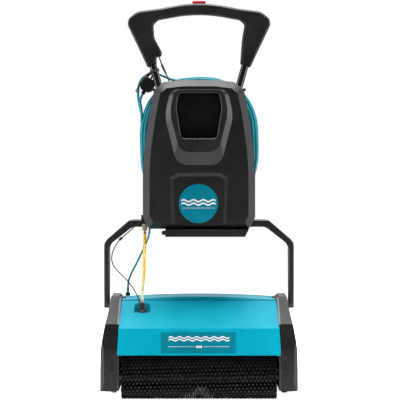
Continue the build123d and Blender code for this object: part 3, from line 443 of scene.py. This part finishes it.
def mixColour(tree, factor, first, second):
    node = tree.nodes.new("ShaderNodeMix")
    node.data_type = "RGBA"
    tree.links.new(factor, node.inputs["Factor"])
    for title, value in (("A", first), ("B", second)):
        socket = [s for s in node.inputs if s.name == title and s.type == "RGBA"][0]
        if hasattr(value, "is_linked"):
            tree.links.new(value, socket)
        else:
            socket.default_value = value
    return [s for s in node.outputs if s.type == "RGBA"][0]


def blankMaterial(name):
    material = bpy.data.materials.new(name)
    material.use_nodes = True
    tree = material.node_tree
    shader = tree.nodes["Principled BSDF"]
    return material, tree, shader


def bumpOn(tree, shader, height, strength, distance):
    bump = tree.nodes.new("ShaderNodeBump")
    bump.inputs["Strength"].default_value = strength
    bump.inputs["Distance"].default_value = distance
    tree.links.new(height, bump.inputs["Height"])
    tree.links.new(bump.outputs["Normal"], shader.inputs["Normal"])


plasticBase = {"smoother": 0.05, "rougher": 0.06, "lineRough": 0.16}
paintBase = {"wearReach": 0.001, "lineScale": 30.0, "lines": 0.6, "lineRough": 0.2, "coatRough": 0.06,
             "bumpDepth": 0.0003}
metalBase = {"streakScale": 1400.0, "streaks": (0.3, 0.7), "lineScale": 90.0, "lines": 0.7, "spotScale": 260.0,
             "spots": 0.35, "smoother": 0.08, "rougher": 0.1, "lineRough": 0.15, "bump": 0.25,
             "bumpDepth": 0.0002}
jacketBase = {"grainScale": 1500.0, "dust": 0.12, "smoother": 0.06, "rougher": 0.08, "bump": 0.2,
              "bumpDepth": 0.0002}


def mouldedPlastic(name, look):
    # moulded plastic: pebbled, with rubbed lines, worn edges and a little dust
    material, tree, shader = blankMaterial(name)
    grain = groupIn(tree, grainGroup, Scale=look["grainScale"])
    wear = groupIn(tree, wearGroup, Reach=look.get("wearReach", 0.0015), Amount=look["wear"])
    dust = groupIn(tree, dustGroup, Amount=look["dust"])
    lines = groupIn(tree, scratchGroup, Scale=look.get("lineScale", 40.0), Amount=look.get("lines", 0.4))
    colour = mixColour(tree, grain.outputs["Tone"], look["dark"], look["light"])
    colour = mixColour(tree, wear.outputs["Mask"], colour, look["worn"])
    colour = mixColour(tree, dust.outputs["Mask"], colour, look.get("dustColour", srgb(170, 166, 158)))
    tree.links.new(colour, shader.inputs["Base Color"])
    rough = rangeNode(tree, grain.outputs["Tone"], 0, 1, look["rough"] - plasticBase["smoother"],
                      look["rough"] + plasticBase["rougher"])
    rubbed = mathNode(tree, "MULTIPLY", lines.outputs["Mask"], plasticBase["lineRough"])
    rough = mathNode(tree, "ADD", rough, rubbed, clamp=True)
    tree.links.new(rough, shader.inputs["Roughness"])
    shader.inputs["Specular IOR Level"].default_value = look.get("specular", 0.5)
    bumpOn(tree, shader, grain.outputs["Height"], look["bump"], look.get("bumpDepth", 0.0004))
    return material


def glossPaint(name, look):
    # paint over steel, with an orange-peel ripple and bright rubbed spots
    material, tree, shader = blankMaterial(name)
    grain = groupIn(tree, grainGroup, Scale=look["peelScale"])
    wear = groupIn(tree, wearGroup, Reach=paintBase["wearReach"], Amount=look["wear"])
    lines = groupIn(tree, scratchGroup, Scale=paintBase["lineScale"], Amount=paintBase["lines"])
    colour = mixColour(tree, grain.outputs["Tone"], look["dark"], look["light"])
    colour = mixColour(tree, wear.outputs["Mask"], colour, look["worn"])
    tree.links.new(colour, shader.inputs["Base Color"])
    rubbed = mathNode(tree, "MULTIPLY", lines.outputs["Mask"], paintBase["lineRough"])
    rough = mathNode(tree, "ADD", rubbed, look["rough"])
    tree.links.new(rough, shader.inputs["Roughness"])
    shader.inputs["Coat Weight"].default_value = look["coat"]
    shader.inputs["Coat Roughness"].default_value = paintBase["coatRough"]
    bumpOn(tree, shader, grain.outputs["Height"], look["bump"], paintBase["bumpDepth"])
    return material


def bareMetal(name, look):
    # brushed or turned metal: fine streaks one way, rubbed lines and dull spots
    material, tree, shader = blankMaterial(name)
    place = tree.nodes.new("ShaderNodeTexCoord").outputs["Object"]
    stretch = tree.nodes.new("ShaderNodeMapping")
    stretch.inputs["Scale"].default_value = look.get("brush", (0.04, 1.0, 1.0))
    tree.links.new(place, stretch.inputs["Vector"])
    streaks = textureNode(tree, "ShaderNodeTexNoise", metalBase["streakScale"], stretch.outputs[0], Detail=3.0)
    lines = groupIn(tree, scratchGroup, Scale=metalBase["lineScale"], Amount=metalBase["lines"])
    spots = groupIn(tree, grainGroup, Scale=metalBase["spotScale"])
    colour = mixColour(tree, streaks.outputs["Fac"], look["dark"], look["light"])
    dull = mathNode(tree, "MULTIPLY", spots.outputs["Tone"], metalBase["spots"])
    colour = mixColour(tree, dull, colour, look["stain"])
    tree.links.new(colour, shader.inputs["Base Color"])
    shader.inputs["Metallic"].default_value = 1.0
    rough = rangeNode(tree, streaks.outputs["Fac"], *metalBase["streaks"],
                      look["rough"] - metalBase["smoother"], look["rough"] + metalBase["rougher"])
    rubbed = mathNode(tree, "MULTIPLY", lines.outputs["Mask"], metalBase["lineRough"])
    rough = mathNode(tree, "ADD", rough, rubbed, clamp=True)
    tree.links.new(rough, shader.inputs["Roughness"])
    bumpOn(tree, shader, streaks.outputs["Fac"], metalBase["bump"], metalBase["bumpDepth"])
    return material


def cordJacket(name, look):
    # soft extruded jacket: fine grain and a pale bloom
    material, tree, shader = blankMaterial(name)
    grain = groupIn(tree, grainGroup, Scale=jacketBase["grainScale"])
    dust = groupIn(tree, dustGroup, Amount=jacketBase["dust"])
    colour = mixColour(tree, grain.outputs["Tone"], look["dark"], look["light"])
    colour = mixColour(tree, dust.outputs["Mask"], colour, srgb(178, 176, 170))
    tree.links.new(colour, shader.inputs["Base Color"])
    rough = rangeNode(tree, grain.outputs["Tone"], 0, 1, look["rough"] - jacketBase["smoother"],
                      look["rough"] + jacketBase["rougher"])
    tree.links.new(rough, shader.inputs["Roughness"])
    bumpOn(tree, shader, grain.outputs["Height"], jacketBase["bump"], jacketBase["bumpDepth"])
    return material


def heightFade(tree, low, high):
    # 0 below low and 1 above high, in metres above the floor at rest
    split = tree.nodes.new("ShaderNodeSeparateXYZ")
    tree.links.new(tree.nodes.new("ShaderNodeTexCoord").outputs["Object"], split.inputs[0])
    return rangeNode(tree, split.outputs["Z"], low, high)


def makeHoseMaterial():
    # clear hose, deep yellow at the top and fading to pale towards the bottom
    look = {"top": srgb(255, 190, 30), "middle": srgb(255, 205, 80), "low": srgb(250, 243, 205),
            "upperFade": (0.350, 0.420), "lowerFade": (0.300, 0.352)}
    material, tree, shader = blankMaterial("hoseYellowToPale")
    grain = groupIn(tree, grainGroup, Scale=1100.0)
    colour = mixColour(tree, heightFade(tree, *look["upperFade"]), look["middle"], look["top"])
    colour = mixColour(tree, heightFade(tree, *look["lowerFade"]), look["low"], colour)
    tree.links.new(colour, shader.inputs["Base Color"])
    shader.inputs["Subsurface Weight"].default_value = 0.25
    shader.inputs["Subsurface Radius"].default_value = (0.004, 0.003, 0.001)
    tree.links.new(rangeNode(tree, grain.outputs["Tone"], 0, 1, 0.22, 0.34), shader.inputs["Roughness"])
    shader.inputs["Coat Weight"].default_value = 0.4
    bumpOn(tree, shader, grain.outputs["Height"], 0.08, 0.0002)
    return material


def makeBristleMaterial():
    # black nylon with a painted highlight: the last tenth of each filament, at the cut tip, turns pale grey to
    # stand in for the light the tuft tips catch
    material, tree, shader = blankMaterial("bristleNylon")
    tip = tree.nodes.new("ShaderNodeAttribute")
    tip.attribute_name = "tip"
    noise = textureNode(tree, "ShaderNodeTexNoise", 260.0,
                        tree.nodes.new("ShaderNodeTexCoord").outputs["Object"], Detail=3.0)
    # painted highlight: the pale grey at the tips, srgb(104, 106, 110), stands in for light caught by the tuft
    # ends
    pale = mathNode(tree, "MULTIPLY", rangeNode(tree, tip.outputs["Fac"], 0.9, 1.0),
                    rangeNode(tree, noise.outputs["Fac"], 0.35, 0.65, 0.35, 1.0))
    colour = mixColour(tree, pale, srgb(5, 5, 6), srgb(104, 106, 110))
    tree.links.new(colour, shader.inputs["Base Color"])
    tree.links.new(rangeNode(tree, noise.outputs["Fac"], 0.3, 0.7, 0.34, 0.55), shader.inputs["Roughness"])
    return material


finishes = {
    "tealShell": mouldedPlastic("tealShell", {
        "dark": srgb(0, 158, 184), "light": srgb(0, 172, 198), "worn": srgb(70, 190, 205), "wear": 0.3,
        "dust": 0.012, "rough": 0.38, "grainScale": 900.0, "bump": 0.22, "lines": 0.35,
        "specular": 0.12}),
    "tealDeep": mouldedPlastic("tealDeep", {
        "dark": srgb(0, 120, 142), "light": srgb(0, 132, 154), "worn": srgb(40, 140, 155), "wear": 0.2,
        "dust": 0.01, "rough": 0.42, "grainScale": 1400.0, "bump": 0.12, "lines": 0.25,
        "specular": 0.12}),
    "blackShell": mouldedPlastic("blackShell", {
        "dark": srgb(17, 16, 18), "light": srgb(25, 24, 26), "worn": srgb(80, 78, 82), "wear": 0.35,
        "dust": 0.014, "rough": 0.4, "grainScale": 620.0, "bump": 0.55, "bumpDepth": 0.0005,
        "specular": 0.38}),
    "blackPart": mouldedPlastic("blackPart", {
        "dark": srgb(16, 16, 17), "light": srgb(22, 22, 23), "worn": srgb(74, 74, 77), "wear": 0.4,
        "dust": 0.014, "rough": 0.38, "grainScale": 1000.0, "bump": 0.3, "specular": 0.45}),
    # painted shade: the filler cap's black is made darker and less glossy than the other blacks, for the shade
    # of the recess it sits in
    "shadedRecessBlack": mouldedPlastic("shadedRecessBlack", {
        "dark": srgb(7, 7, 8), "light": srgb(11, 11, 12), "worn": srgb(40, 40, 42), "wear": 0.1,
        "dust": 0.004, "rough": 0.5, "grainScale": 900.0, "bump": 0.3, "specular": 0.3}),
    "hoodGrey": mouldedPlastic("hoodGrey", {
        "dark": srgb(24, 23, 26), "light": srgb(34, 33, 36), "worn": srgb(104, 102, 106), "wear": 0.3,
        "dust": 0.01, "rough": 0.3, "grainScale": 900.0, "bump": 0.25, "specular": 0.55}),
    "framePaint": glossPaint("framePaint", {
        "dark": srgb(20, 20, 21), "light": srgb(27, 26, 28), "worn": srgb(120, 118, 116), "wear": 0.3,
        "rough": 0.32, "coat": 0.25, "peelScale": 420.0, "bump": 0.16}),
    "tubePaint": glossPaint("tubePaint", {
        "dark": srgb(9, 9, 10), "light": srgb(13, 13, 14), "worn": srgb(110, 108, 106), "wear": 0.3,
        "rough": 0.14, "coat": 0.7, "peelScale": 260.0, "bump": 0.05}),
    "platedSteel": bareMetal("platedSteel", {
        "dark": srgb(150, 150, 152), "light": srgb(188, 188, 190), "stain": srgb(120, 116, 110),
        "rough": 0.3}),
    "bronze": bareMetal("bronze", {
        "dark": srgb(130, 92, 48), "light": srgb(180, 136, 80), "stain": srgb(84, 60, 34), "rough": 0.34,
        "brush": (1.0, 1.0, 0.06)}),
    "motorCan": bareMetal("motorCan", {
        "dark": srgb(96, 98, 102), "light": srgb(120, 122, 126), "stain": srgb(70, 70, 72), "rough": 0.42}),
    "beltRubber": mouldedPlastic("beltRubber", {
        "dark": srgb(20, 20, 20), "light": srgb(28, 28, 28), "worn": srgb(70, 68, 66), "wear": 0.6,
        "dust": 0.2, "rough": 0.66, "grainScale": 1500.0, "bump": 0.4}),
    "coreNylon": mouldedPlastic("coreNylon", {
        "dark": srgb(46, 48, 52), "light": srgb(58, 60, 64), "worn": srgb(120, 120, 124), "wear": 0.3,
        "dust": 0.06, "rough": 0.46, "grainScale": 900.0, "bump": 0.2}),
    "greyFitting": mouldedPlastic("greyFitting", {
        "dark": srgb(120, 116, 106), "light": srgb(142, 138, 126), "worn": srgb(190, 186, 176), "wear": 0.4,
        "dust": 0.10, "rough": 0.4, "grainScale": 1200.0, "bump": 0.2}),
    "footPale": mouldedPlastic("footPale", {
        "dark": srgb(196, 190, 176), "light": srgb(222, 217, 204), "worn": srgb(240, 238, 230), "wear": 0.4,
        "dust": 0.0, "rough": 0.5, "grainScale": 900.0, "bump": 0.3}),
    "switchRed": mouldedPlastic("switchRed", {
        "dark": srgb(176, 22, 24), "light": srgb(196, 30, 30), "worn": srgb(226, 110, 100), "wear": 0.3,
        "dust": 0.04, "rough": 0.3, "grainScale": 900.0, "bump": 0.1}),
    "printWhite": mouldedPlastic("printWhite", {
        "dark": srgb(232, 238, 238), "light": srgb(246, 250, 250), "worn": srgb(200, 216, 218), "wear": 0.3,
        "dust": 0.0, "rough": 0.4, "grainScale": 900.0, "bump": 0.05}),
    "tealJacket": cordJacket("tealJacket", {
        "dark": srgb(0, 134, 152), "light": srgb(8, 152, 168), "rough": 0.4}),
    "blackJacket": cordJacket("blackJacket", {
        "dark": srgb(20, 19, 20), "light": srgb(30, 29, 30), "rough": 0.42}),
    "strapGrey": cordJacket("strapGrey", {
        "dark": srgb(48, 44, 42), "light": srgb(66, 61, 58), "rough": 0.5}),
    "hose": makeHoseMaterial(),
    "bristle": makeBristleMaterial(),
}

nodeFinishes = {
    "front_cover": "tealShell", "rear_cover": "tealShell", "recovery_lid": "tealShell",
    "label_plate": "tealDeep", "emblem_disc": "tealDeep",
    "chassis_plates": "framePaint", "fork": "framePaint",
    "side_cover_left": "blackShell", "side_cover_right": "blackShell", "cradle": "blackShell",
    "solution_tank": "blackShell", "grip_front": "blackShell", "grip_rear": "blackShell",
    "window_bezel": "hoodGrey", "filler_cap": "shadedRecessBlack", "recovery_tank": "blackPart",
    "handle_tube_left": "tubePaint", "handle_tube_right": "tubePaint",
    "tube_clamps": "blackPart", "cable_hooks": "blackPart", "fork_clip": "blackPart",
    "brush_latch_left": "blackPart", "brush_latch_right": "blackPart", "inlet_spigot": "blackPart",
    "solution_pump": "blackPart", "lead_gland": "blackPart", "mains_plug": "blackPart",
    # painted shade: the right foot gets the black finish for the shade it sits in, while the left foot is pale
    "foot_right": "blackPart", "foot_left": "footPale", "hose_coupling": "greyFitting",
    "cross_rails": "platedSteel", "shaft_bearings": "platedSteel", "cover_screws": "platedSteel",
    "pivot_pins": "platedSteel", "grip_screws": "platedSteel", "latch_springs": "platedSteel",
    "spray_bar": "platedSteel", "counter_gear": "platedSteel", "motor_shaft": "platedSteel",
    "pivot_bushes": "bronze", "drive_motor": "motorCan", "drive_belts": "beltRubber",
    "front_brush_core": "coreNylon", "rear_brush_core": "coreNylon", "conveyor_drum": "coreNylon",
    "front_brush_pulleys": "coreNylon", "rear_brush_pulley": "coreNylon", "drum_pulley": "coreNylon",
    "plug_strap": "strapGrey", "start_switch": "switchRed",
}

for nodeName, finishName in nodeFinishes.items():
    slots = nodes[nodeName].data.materials
    for number in range(len(slots)):
        slots[number] = finishes[finishName]
print("finishes applied")


# softened edges on the moulded CAD parts

edgeRounds = {"front_cover": 0.0025, "rear_cover": 0.0025, "recovery_lid": 0.002, "solution_tank": 0.004,
              "grip_front": 0.003, "grip_rear": 0.003, "side_cover_left": 0.0035,
              "side_cover_right": 0.0035, "cradle": 0.002, "fork": 0.002, "label_plate": 0.001,
              "mains_plug": 0.002, "brush_latch_left": 0.0008, "brush_latch_right": 0.0008}


edgeLook = {"weld": 0.00002, "segments": 3, "angle": 24}


def softenNode(name, width):
    # weighted normals leave streaks on the lid's crown, so it goes without them
    obj = nodes[name]
    weld = obj.modifiers.new("weld", "WELD")
    weld.merge_threshold = edgeLook["weld"]
    roundEdges(obj, width, edgeLook["segments"], edgeLook["angle"])
    obj.modifiers["round"].use_clamp_overlap = True
    if name != "recovery_lid":
        even = obj.modifiers.new("even", "WEIGHTED_NORMAL")
        even.keep_sharp = False


for nodeName, width in edgeRounds.items():
    softenNode(nodeName, width)
print("edges softened")


# brushes

brushFill = {"columns": 40, "rows": 34, "filaments": 16, "rootRadius": 2.2, "tipRadius": 2.5,
             "thickness": 0.62, "core": 29.5, "tip": 61.4, "shorter": 0.9, "start": 0.25, "stagger": 0.5,
             "filamentTurn": 2.4, "cornerTurn": 2.0944, "spread": (0.8, 1.1)}


def makeTufts(name, node, body, lean):
    # three-sided filaments in tufts, whose rows wind once round the core
    low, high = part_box(node)
    y, z = (low.y + high.y) / 2, (low.z + high.z) / 2
    length = high.x - low.x
    verts, faces, tips = [], [], []
    for row in range(brushFill["rows"]):
        for column in range(brushFill["columns"]):
            share = (column + brushFill["start"] + brushFill["stagger"] * (row % 2)) / brushFill["columns"]
            x = low.x + share * length
            angle = 2 * math.pi * (row - share * lean) / brushFill["rows"]
            out = Vector((0, math.cos(angle), math.sin(angle)))
            side = Vector((0, -math.sin(angle), math.cos(angle)))
            root = Vector((x, y, z)) + out * brushFill["core"] * mm
            for filament in range(brushFill["filaments"]):
                spin = brushFill["filamentTurn"] * filament
                spread = math.sqrt((filament + 0.5) / brushFill["filaments"])
                drift = Vector((math.cos(spin), 0, 0)) + side * math.sin(spin)
                base = root + drift * spread * brushFill["rootRadius"] * mm
                reach = brushFill["tip"] - brushFill["core"] - random.random() * brushFill["shorter"]
                wide = spread * brushFill["tipRadius"] * random.uniform(*brushFill["spread"])
                tip = root + out * reach * mm + drift * wide * mm
                first = len(verts)
                for end, value in ((base, 0.0), (tip, 1.0)):
                    for corner in range(3):
                        turn = brushFill["cornerTurn"] * corner + spin
                        shift = Vector((math.cos(turn), 0, 0)) + side * math.sin(turn)
                        verts.append(end + shift * brushFill["thickness"] * mm)
                        tips.append(value)
                for corner in range(3):
                    after = (corner + 1) % 3
                    faces.append((first + corner, first + after, first + 3 + after, first + 3 + corner))
                faces.append((first + 3, first + 4, first + 5))
    brush = meshPiece(name, verts, faces)
    # the tip mark places the painted highlight of the bristle finish
    mark = brush.data.attributes.new("tip", "FLOAT", "POINT")
    mark.data.foreach_set("value", tips)
    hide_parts(node)
    finish(brush, finishes["bristle"], body)


makeTufts("frontTufts", "front_brush_bristles", "front_brush", 1.0)
makeTufts("rearTufts", "rear_brush_bristles", "rear_brush", -1.0)
print("brushes filled")


# printed marks: bands and drops standing a hair off the surface they lie on
markLook = {"lift": 0.05, "thickness": 0.35, "waveSteps": 48, "dropSteps": 24, "dropSize": (0.42, 0.5)}
labelPrint = {"crease": (0, -158, 205), "lip": (0, -182, 134), "share": 0.49, "plate": 1.2,
              "reach": 84, "waveTop": 12.5, "wavePitch": 7, "waveHeight": 3.6, "swing": 2.4, "waves": 7,
              "ruleGap": 13, "ruleAt": -13, "ruleHeight": 0.9, "drops": (-6, 0, 6), "dropHeight": 8}
discPrint = {"reach": 48, "waveTop": 8, "wavePitch": 9.5, "waveHeight": 4.6, "swing": 2.8, "waves": 3.5,
             "ruleReach": 46, "ruleAt": -12.5, "ruleHeight": 1.0}


def bandOutline(x0, x1, middle, height, swing=0.0, waves=0.0):
    steps = markLook["waveSteps"] if swing else 1
    line = [(x0 + (x1 - x0) * k / steps, middle + swing * math.sin(2 * math.pi * waves * k / steps))
            for k in range(steps + 1)]
    return [(x, y + height / 2) for x, y in line], [(x, y - height / 2) for x, y in line]


def waveBands(look):
    return [bandOutline(-look["reach"], look["reach"], look["waveTop"] - look["wavePitch"] * k,
                        look["waveHeight"], look["swing"], look["waves"]) for k in range(2)]


def dropOutline(x, y, size):
    ring = []
    steps = markLook["dropSteps"]
    wide, tall = markLook["dropSize"]
    for k in range(steps + 1):
        turn = math.pi * 2 * k / steps
        pinch = math.sin(turn / 2)
        ring.append((x + size * wide * math.sin(turn) * pinch, y + size * tall * math.cos(turn)))
    half = len(ring) // 2
    return ring[:half + 1], ring[:half - 1:-1]


def printMarks(name, bands, spot, across, up, body):
    # each band is an upper and a lower line with as many points
    normal = across.cross(up)
    verts, faces = [], []
    for upper, lower in bands:
        first, count = len(verts), len(upper)
        for depth in (markLook["lift"], markLook["lift"] + markLook["thickness"]):
            for line in (upper, lower):
                for x, y in line:
                    verts.append(spot + (across * x + up * y + normal * depth) * mm)
        for k in range(count - 1):
            a, b, c, d = first + k, first + count + k, first + 2 * count + k, first + 3 * count + k
            faces += [(c, d, d + 1, c + 1), (a, a + 1, b + 1, b), (a, c, c + 1, a + 1), (b, b + 1, d + 1, d)]
        for k in (0, count - 1):
            a, b, c, d = first + k, first + count + k, first + 2 * count + k, first + 3 * count + k
            faces.append((a, b, d, c) if k == 0 else (a, c, d, b))
    piece = meshPiece(name, verts, faces, smooth=False)
    finish(piece, finishes["printWhite"], body)


def makeMarks():
    look = labelPrint
    crease, lip = Vector(look["crease"]), Vector(look["lip"])
    up = (crease - lip).normalized()
    across = Vector((1, 0, 0))
    face = lip.lerp(crease, look["share"]) + across.cross(up) * look["plate"]
    reach, gap, line = look["reach"], look["ruleGap"], look["ruleAt"]
    rules = [bandOutline(-reach, -gap, line, look["ruleHeight"]),
             bandOutline(gap, reach, line, look["ruleHeight"])]
    drops = [dropOutline(x, line, look["dropHeight"]) for x in look["drops"]]
    printMarks("labelMarks", waveBands(look) + rules + drops, face * mm, across, up, "deck")
    look = discPrint
    low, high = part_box("emblem_disc")
    centre = Vector(((low.x + high.x) / 2, low.y, (low.z + high.z) / 2))
    rule = bandOutline(-look["ruleReach"], look["ruleReach"], look["ruleAt"], look["ruleHeight"])
    printMarks("discMarks", waveBands(look) + [rule], centre, across, Vector((0, 0, 1)), "solution_unit")


makeMarks()
print("marks printed")


# fittings on the cords: a boot, a relief, a ferrule and two clamps; heights and depths in metres
fittingLook = {"bootHeights": (0.928, 0.955), "bootRadius": 3.6, "bootTaper": 1.0, "bootRib": 0.45,
               "bootRibs": 9, "reliefLength": 0.042, "reliefRadius": 7.4, "reliefTaper": 2.6,
               "reliefGroove": 0.6, "reliefGrooves": 8, "ferruleTop": 0.297, "ferruleRadius": 4.3,
               "ferruleGroove": 0.5, "ferruleRate": 2400, "clampRadius": 5.1, "clampPoints": 11,
               "clampUpper": (0.457, -0.02), "clampLower": (0.283, -0.1)}


def lineSpan(line, start, end):
    # the part of a line between two distances along it
    taken, distance = [], 0.0
    for number, point in enumerate(line):
        if number:
            distance += (point - line[number - 1]).length
        if start <= distance <= end:
            taken.append(point)
    return taken


def denseLine(line, step):
    points = [line[0]]
    for a, b in zip(line, line[1:]):
        parts = max(1, round((b - a).length / step))
        points += [a.lerp(b, (k + 1) / parts) for k in range(parts)]
    return points


def makeCordFittings():
    look = fittingLook
    cable = denseLine(switchLine, 0.0005)
    bootLow, bootHigh = look["bootHeights"]
    boot = [point for point in cable if bootLow < point.z < bootHigh]
    length = (boot[-1] - boot[0]).length
    def bootRadius(distance):
        share = distance / length
        rib = look["bootRib"] * math.sin(2 * math.pi * look["bootRibs"] * share)
        return (look["bootRadius"] - look["bootTaper"] * share + rib) * mm
    piece = tubePiece("switchBoot", boot, bootRadius, 20)
    finish(piece, finishes["blackJacket"], "handle")
    mains = denseLine(splinePoints(metres(leadRoute)), 0.0006)
    relief = lineSpan(mains, 0.0, look["reliefLength"])
    def reliefRadius(distance):
        share = distance / look["reliefLength"]
        cut = math.sin(2 * math.pi * look["reliefGrooves"] * share) > 0.4 and share > 0.15
        groove = look["reliefGroove"] if cut else 0.0
        return (look["reliefRadius"] - look["reliefTaper"] * share - groove) * mm
    piece = tubePiece("mainsRelief", relief, reliefRadius, 24)
    finish(piece, finishes["blackPart"], "handle")
    lead = denseLine(motorLeadLine, 0.0005)
    ferrule = [point for point in lead if point.z < look["ferruleTop"]]
    def ferruleRadius(distance):
        cut = math.sin(distance * look["ferruleRate"]) > 0.5
        return (look["ferruleRadius"] - look["ferruleGroove"] * cut) * mm
    piece = tubePiece("leadFerrule", ferrule, ferruleRadius, 20)
    finish(piece, finishes["greyFitting"], "deck")
    pipe = denseLine(hoseLine, 0.0005)
    above, below = look["clampUpper"], look["clampLower"]
    ends = (("hoseClampUpper", [p for p in pipe if p.z > above[0] and p.y > above[1]], "handle"),
            ("hoseClampLower", [p for p in pipe if p.z < below[0] and p.y > below[1]], "deck"))
    for name, span, body in ends:
        first = len(span) // 3
        band = tubePiece(name, span[first:first + look["clampPoints"]], look["clampRadius"] * mm, 24)
        finish(band, finishes["platedSteel"], body)


makeCordFittings()
print("cord fittings made")


# small fittings: a drain knob on the cradle and a tab at each end of the lid
fittings = {"knobSpot": (-99, -110, 469), "knobRadius": 6.5, "knobRibs": 14, "knobRib": 0.07,
            "knobLength": 11, "knobRound": 0.0005,
            "knobProfile": [(0.0, 0.55), (0.15, 0.6), (0.2, 1.0), (0.75, 1.0), (0.92, 0.82), (1.0, 0.45)],
            "tabSize": (5.5, 24, 7), "tabSpot": (4.6, 6, 3.6), "tabTop": (0.8, 0.7), "tabRound": 0.0009}


def ribbedKnob(bm):
    # a turned knob along Y with grip ribs, a waist and a domed end
    sides = fittings["knobRibs"] * 4
    rings = []
    for along, wide in fittings["knobProfile"]:
        ring = []
        for side in range(sides):
            turn = 2 * math.pi * side / sides
            rib = 1.0 - fittings["knobRib"] * (side % 4 < 2) * (wide > 0.7)
            radius = fittings["knobRadius"] * wide * rib
            x, y, z = fittings["knobSpot"]
            ring.append(bm.verts.new(Vector((x + radius * math.cos(turn), y - along * fittings["knobLength"],
                                             z + radius * math.sin(turn))) * mm))
        rings.append(ring)
    for near, far in zip(rings, rings[1:]):
        for side in range(sides):
            after = (side + 1) % sides
            bm.faces.new((near[side], near[after], far[after], far[side]))
    bm.faces.new(rings[0])
    bm.faces.new(rings[-1][::-1])


def steppedTab(side):
    # a finger tab in the notch at the end of the lid
    def build(bm):
        low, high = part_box("recovery_lid")
        wide, deep, tall = (size * mm for size in fittings["tabSize"])
        inset, along, rise = (step * mm for step in fittings["tabSpot"])
        topWide, topDeep = fittings["tabTop"]
        middle = Vector((side * (high.x - inset), along, low.z + rise + tall / 2))
        box = bmesh.ops.create_cube(bm, size=1.0)["verts"]
        for vert in box:
            vert.co = Vector((vert.co.x * wide, vert.co.y * deep, vert.co.z * tall))
            if vert.co.z > 0:
                vert.co.y *= topDeep
                vert.co.x *= topWide
            vert.co += middle
    return build


def makeFittings():
    knob = bmeshPiece("drainKnob", ribbedKnob)
    roundEdges(knob, fittings["knobRound"], 2, 40)
    finish(knob, finishes["blackPart"], "handle")
    for side, name in ((-1, "lidTabLeft"), (1, "lidTabRight")):
        tab = bmeshPiece(name, steppedTab(side), smooth=False)
        roundEdges(tab, fittings["tabRound"], 3, 30)
        finish(tab, finishes["blackPart"], "recovery_unit")


makeFittings()
print("small fittings made")


# cord pieces in place

def finishCords():
    finish(mainsCable, finishes["tealJacket"], "handle")
    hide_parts("mains_coil", "mains_loop", "mains_lead", "mains_tail")
    finish(motorLead, finishes["tealJacket"], None)
    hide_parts("motor_lead")
    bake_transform(motorLead)
    finish(solutionHose, finishes["hose"], None)
    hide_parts("solution_hose")
    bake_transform(solutionHose)
    finish(controlCable, finishes["blackJacket"], None)
    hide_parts("control_cable")
    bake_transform(controlCable)
    finish(switchCable, finishes["blackJacket"], "handle")
    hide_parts("switch_cable")


finishCords()
print("cords placed")


# floor, backdrop and light

studio = {
    "seenWhite": 1.0, "reflected": 0.12, "floorLift": 0.95, "floorHalf": 9, "floorRough": 0.7,
    "floorCloud": 3.0, "floorDark": srgb(250, 250, 250), "floorLight": srgb(253, 253, 253),
    "boxes": [("topBox", (0, -0.2, 2.6), (0, 0, 0.3), (2.2, 1.6), 100),
              ("leftBox", (-2.2, -0.35, 1.0), (0, 0, 0.6), (1.0, 2.0), 26),
              ("rightBox", (2.2, -0.35, 1.0), (0, 0, 0.6), (1.0, 2.0), 25),
              ("rearBox", (0, 2.6, 1.9), (0, 0, 0.6), (2.6, 1.2), 40)]}


def makeStage():
    half = studio["floorHalf"]
    corners = [(-half, -half, 0), (half, -half, 0), (half, half, 0), (-half, half, 0)]
    floor = meshPiece("floor", corners, [(0, 1, 2, 3)])
    material, tree, shader = blankMaterial("paleFloor")
    place = tree.nodes.new("ShaderNodeTexCoord").outputs["Object"]
    cloud = textureNode(tree, "ShaderNodeTexNoise", studio["floorCloud"], place, Detail=4.0)
    tree.links.new(mixColour(tree, cloud.outputs["Fac"], studio["floorDark"], studio["floorLight"]),
                   shader.inputs["Base Color"])
    shader.inputs["Roughness"].default_value = studio["floorRough"]
    rays = tree.nodes.new("ShaderNodeLightPath")
    shader.inputs["Emission Color"].default_value = (1, 1, 1, 1)
    tree.links.new(rangeNode(tree, rays.outputs["Is Camera Ray"], 0, 1, 0.0, studio["floorLift"]),
                   shader.inputs["Emission Strength"])
    floor.data.materials.append(material)


def softLight(name, place, aim, size, power):
    data = bpy.data.lights.new(name, "AREA")
    data.shape = "RECTANGLE"
    data.size, data.size_y = size
    data.energy = power
    light = addToScene(bpy.data.objects.new(name, data))
    light.location = place
    light.rotation_euler = (Vector(aim) - Vector(place)).to_track_quat("-Z", "Y").to_euler()


def makeLight():
    # the backdrop is seen white, but lights the object only a little
    world = bpy.data.worlds.new("studio")
    bpy.context.scene.world = world
    world.use_nodes = True
    tree = world.node_tree
    back = tree.nodes["Background"]
    back.inputs["Color"].default_value = (1, 1, 1, 1)
    rays = tree.nodes.new("ShaderNodeLightPath")
    strength = rangeNode(tree, rays.outputs["Is Camera Ray"], 0, 1, studio["reflected"], studio["seenWhite"])
    tree.links.new(strength, back.inputs["Strength"])
    for name, place, aim, size, power in studio["boxes"]:
        softLight(name, place, aim, size, power)


makeStage()
makeLight()
bpy.context.scene.view_settings.view_transform = "Standard"
